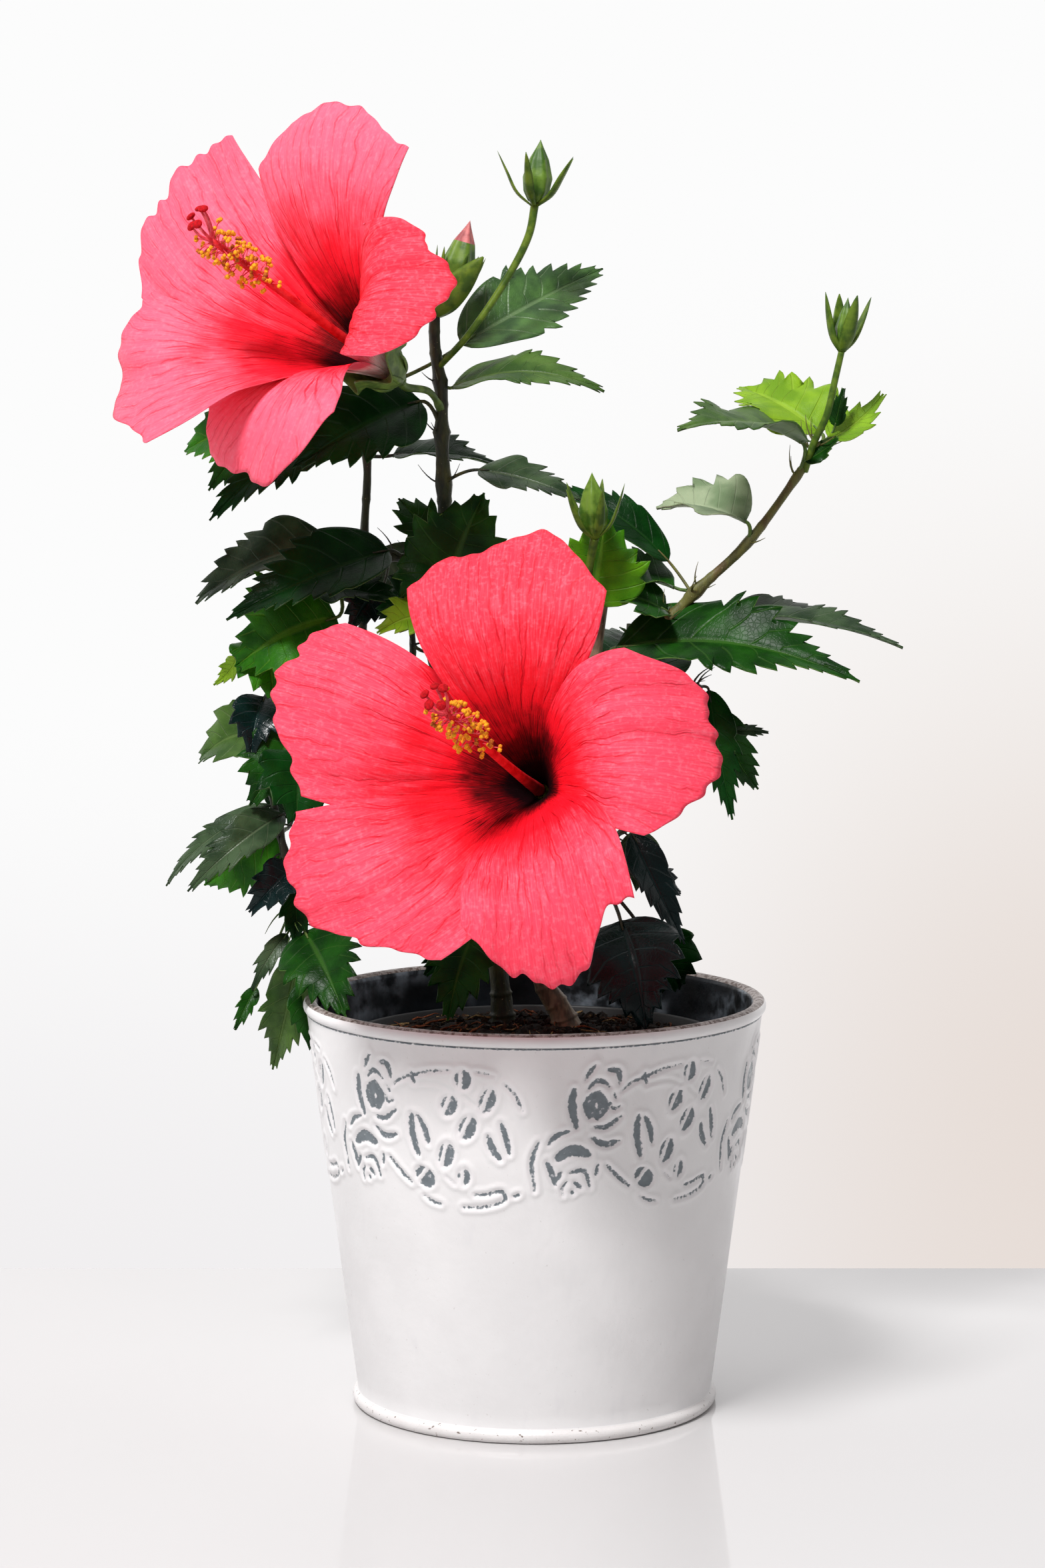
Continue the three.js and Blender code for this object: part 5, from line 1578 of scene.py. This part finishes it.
def column(name, throat, axis, column_tip, bare, lift):
    ahead, _, _ = facing(axis)
    tip = np.array(column_tip, float)
    lean, top, right = facing(tip - throat)
    path = [throat + ahead * (2 - TUBE_DEPTH), throat + ahead * 4, tip]
    luck = random.Random(len(name) * 7)
    stalk, anthers, stigmas = new_form(), new_form(), new_form()
    along = np.linspace(0, 1, COLUMN_STEPS)
    tube(stalk, smooth_path(path, along), np.interp(along, [0, 0.5, 1], [2.2, 1.6, 1.1]), 14, 0)
    for index in range(STAMENS):
        share = (index + luck.random()) / STAMENS
        turn = index * STAMEN_TURN + luck.uniform(-0.3, 0.3)
        out = unit(right * math.cos(turn) + top * math.sin(turn) + lean * luck.uniform(0.0, 0.7))
        root = smooth_path(path, bare + (0.99 - bare) * share ** 0.8)[0]
        end = root + out * luck.uniform(*STAMEN_LENGTH) * (0.75 + 0.25 * share)
        steps = np.linspace(0, 1, 5)[:, None]
        tube(stalk, root + (end - root) * steps + lean * 0.7 * np.sin(math.pi * steps), np.full(5, 0.2), 4, 1)
        across = unit(np.cross(out, unit([luck.uniform(-1, 1) for _ in range(3)]))) * 0.6
        look = 0 if luck.random() < 0.8 else 1
        for side in (-1, 1):
            add_ball(anthers, end + side * across + out * 0.3, ANTHER * luck.uniform(0.85, 1.15), 1, look)
    for index in range(STIGMAS):
        turn = index * 2 * math.pi / STIGMAS + 0.5
        ring = right * math.cos(turn) + top * math.sin(turn)
        out = unit(lean + lift * UP) + ring * luck.uniform(0.35, 0.55)
        head = tip + out * STIGMA_REACH * luck.uniform(0.85, 1.1)
        steps = np.linspace(0, 1, 9)[:, None]
        root = tip - lean
        bowed = root + (head - root) * steps + ring * np.sin(math.pi * steps)
        tube(stalk, bowed, np.linspace(0.6, 0.4, 9), 6, 1)
        add_ball(stigmas, head, STIGMA_RADIUS * luck.uniform(0.9, 1.1), 3, 0, unit(out))
    finish_piece(name + "_style", stalk, [COLUMN_RED, FILAMENT_PINK], [name + "_column"])
    finish_piece(name + "_anthers", anthers, [POLLEN, POLLEN_DARK])
    finish_piece(name + "_stigmas", stigmas, [STIGMA_RED])


print("a column carries", STAMENS, "stamens and", STIGMAS, "stigmas")

# %% [markdown]
# ## Calyx
#
# Behind the petals sits a green cup with five pointed lobes, with a ring of narrow bracts round its
# foot, on a stalk that thickens towards the flower. The cup is a sheet rolled round the axis, and a
# Solidify modifier gives it its wall. A bract is a tube that is pressed flat and hollowed a little.

# %% Shape a bract
BRACT_COLUMNS, BRACT_ROWS = 8, 15


def bract(form, foot, out, ahead, spread, length, width, look=0, curl=0.0):
    """A flat pointed bract that leaves the foot, bows outward and turns forward."""
    along = np.linspace(0, 1, BRACT_ROWS - 1)
    path = [foot + out * away * spread + ahead * forward * length
            for away, forward in ((0.1, -0.02), (0.6, 0.22), (0.95, 0.6), (1.1 + curl, 1))]
    route = smooth_path(path, along)
    heading = unit(np.gradient(route, axis=0))
    broad = unit(np.cross(ahead, out))
    thin = np.cross(broad, heading)
    half = width / 2 * np.sin(math.pi * (0.16 + 0.83 * along)) ** 0.8

    def rule(across, rows_along):
        row = np.rint(rows_along * BRACT_ROWS).astype(int)
        step = np.clip(row - 1, 0, len(route) - 1)
        size = half[step] * ((row > 0) & (row < BRACT_ROWS))
        turn = math.pi * across
        hollow = 0.35 * np.abs(np.cos(turn)) ** 2
        return (route[step] + broad * (size * np.cos(turn))[:, None]
                - thin[step] * (size * (0.28 * np.sin(turn) + hollow))[:, None])

    closed_grid(form, BRACT_COLUMNS, BRACT_ROWS, rule, look)


print("a bract has", BRACT_COLUMNS * BRACT_ROWS, "faces")

# %% Shape a calyx
CUP_COLUMNS, CUP_ROWS = 60, 22
CUP_WALL = 0.6
SEAT_DEPTH = 27                       # from the throat back to the foot of the cup
STALK_STEPS = 40
CALYX_BRACTS = 7


def calyx(name, throat, axis, stalk):
    ahead, top, right = facing(axis)
    cup, rest = new_form(), new_form()

    def rule(across, along):
        turn = math.pi * across
        lobe = np.clip((along - 0.55) / 0.45, 0, 1)
        radius = np.interp(along, [0, 0.2, 0.5, 0.8, 1], [2.4, 6.4, 9.0, 11.2, 12.4])
        height = np.interp(along, [0, 0.2, 0.5, 1], [-27.5, -23, -16, -9])
        height = height + lobe * (3.2 * np.cos(5 * turn) - 1.6 * (1 - np.cos(5 * turn)))
        ribs = 1 + 0.03 * np.cos(10 * turn)
        return (throat + right * (radius * ribs * np.cos(turn))[:, None]
                + top * (radius * ribs * np.sin(turn))[:, None] + ahead * height[:, None])

    points = shaped_grid(cup, CUP_COLUMNS, CUP_ROWS, rule)
    bmesh.ops.remove_doubles(cup, verts=points, dist=1e-3)
    bmesh.ops.recalc_face_normals(cup, faces=cup.faces)
    seat = throat - ahead * SEAT_DEPTH
    along = np.linspace(0, 1, STALK_STEPS)
    radii = np.interp(along, [0, 0.08, 0.16, 0.8, 1], [1.7, 1.6, 1.1, 1.5, 2.6])
    tube(rest, smooth_path([*stalk, seat], along), radii, 12)
    for index in range(CALYX_BRACTS):
        turn = index * 2 * math.pi / CALYX_BRACTS + 0.4
        out = right * math.cos(turn) + top * math.sin(turn)
        bract(rest, seat, out, ahead, 9, 12, 2.6)
    finish_piece(name + "_cup", cup, [CALYX_GREEN], [name + "_calyx"], wall=CUP_WALL)
    finish_piece(name + "_stalk", rest, [CALYX_GREEN])


print("a cup has", CUP_COLUMNS * CUP_ROWS, "faces")

# %% Grow the blooms
for name, bloom in BLOOMS.items():
    throat = np.array(bloom["throat"], float)
    directions = facing(bloom["axis"])
    form = new_form()
    for index, row in enumerate(bloom["petals"]):
        petal(form, throat, directions, row, 200 + index + len(name), 2 if index in bloom["shaded"] else 0)
    finish_piece(name + "_corolla", form, petal_finishes[name], [name + "_petals"],
                 wall=PETAL_WALL, under=1)
    column(name, throat, bloom["axis"], bloom["column_tip"], bloom["bare"], bloom["lift"])
    calyx(name, throat, bloom["axis"], [np.array(point, float) for point in bloom["stalk"]])

# %% [markdown]
# ## Buds
#
# A closed bud is a pointed, five-ribbed body in a ring of narrow bracts that curve outward. The body is
# a grid rolled round its axis, with a profile that swells low and runs out to a point. The right-hand
# bud is younger: its broad bracts stand open like a small crown. The pink one shows the tips of its
# petals, and a broad bract wraps its foot.

# %% Bud finishes and places
BUD_GREEN = plain_finish("bud_green", 0.45, tint(54, 88, 22), tint(100, 130, 44), 5, 0.06, 0.25)
BUD_PINK = plain_finish("bud_pink", 0.5, tint(150, 78, 80), tint(190, 108, 106), 3, 0.06, 0.25)
BRACT_GREEN = plain_finish("bract_green", 0.5, tint(52, 80, 14), tint(90, 114, 28), 4, 0.06, 0.25)

BUDS = {
    "tall_bud": dict(stalk=[(-33, 8, 358), (-22, -1, 370), (-9, 0, 389), (-2, 0, 403), (0, 0, 413)],
                     thick=(2.2, 2.8), tip=(2, 0, 435), width=9.6, bracts=5, length=17, spread=11,
                     broad=3.4, curl=0.2),
    "pink_bud": dict(stalk=[(-34, 8, 377), (-29, 8, 383)], thick=(3, 3), tip=(-22, 8, 408), width=11,
                     bracts=6, length=15, spread=8, broad=3, pink=0.72,
                     wrap=((-34, 4, 377), (-17, -1, 396), 10)),
    "right_bud": dict(stalk=[(92, 0, 323), (95, -3, 333), (99, -5, 342), (102, -5, 355), (104, -5, 364)],
                      thick=(2.6, 2.2), tip=(106, -5, 382), width=6, bracts=4, length=19, spread=7,
                      broad=5.4, curl=0.1),
    "front_bud": dict(stalk=[(19, -14, 284), (18, -20, 288), (20, -29, 302)], thick=(2.6, 3),
                      tip=(19, -32, 324), width=9.5, bracts=5, length=18, spread=9, broad=3.6, curl=0.1),
}
print("buds:", ", ".join(BUDS))

# %% Grow the buds
BUD_COLUMNS, BUD_ROWS = 40, 34


def bud(name, stalk, thick, tip, width, bracts, length, spread, broad, curl=0.0, pink=0.0, wrap=()):
    base, tip = np.array(stalk[-1], float), np.array(tip, float)
    tall = np.linalg.norm(tip - base)
    ahead, top, right = facing(tip - base)
    form = new_form()
    along = np.linspace(0, 1, STALK_STEPS)
    tube(form, smooth_path(stalk, along), np.interp(along, [0, 1], np.array(thick) / 2), 12, 1)

    def rule(across, along):
        turn = math.pi * across
        profile = np.interp(along, [0, 0.06, 0.2, 0.42, 0.7, 0.9, 1], [0, 0.5, 0.86, 1.0, 0.66, 0.2, 0])
        radius = width / 2 * profile * (1 + 0.1 * np.cos(5 * turn + 1.2 * along))
        height = tall * along - 1.5 * (along < 0.01)
        return (base + right * (radius * np.cos(turn))[:, None] + top * (radius * np.sin(turn))[:, None]
                + ahead * height[:, None])

    points = closed_grid(form, BUD_COLUMNS, BUD_ROWS, rule, 0)
    if pink:
        for face in {face for point in points for face in point.link_faces}:
            if np.dot(np.array(face.calc_center_median()) - base, ahead) > pink * tall:
                face.material_index = 2
    for index in range(bracts):
        turn = index * 2 * math.pi / bracts + 0.3
        out = right * math.cos(turn) + top * math.sin(turn)
        bract(form, base, out, ahead, spread, length, broad, 1, curl)
    if wrap:
        foot, end, wide = np.array(wrap[0], float), np.array(wrap[1], float), wrap[2]
        ahead = unit(end - foot)
        bract(form, foot, square_to(FRONT, ahead), ahead, 3, np.linalg.norm(end - foot), wide, 1)
    finish_piece(name + "_body", form, [BUD_GREEN, BRACT_GREEN, BUD_PINK], [name])


for name, row in BUDS.items():
    bud(name, **row)

# %% [markdown]
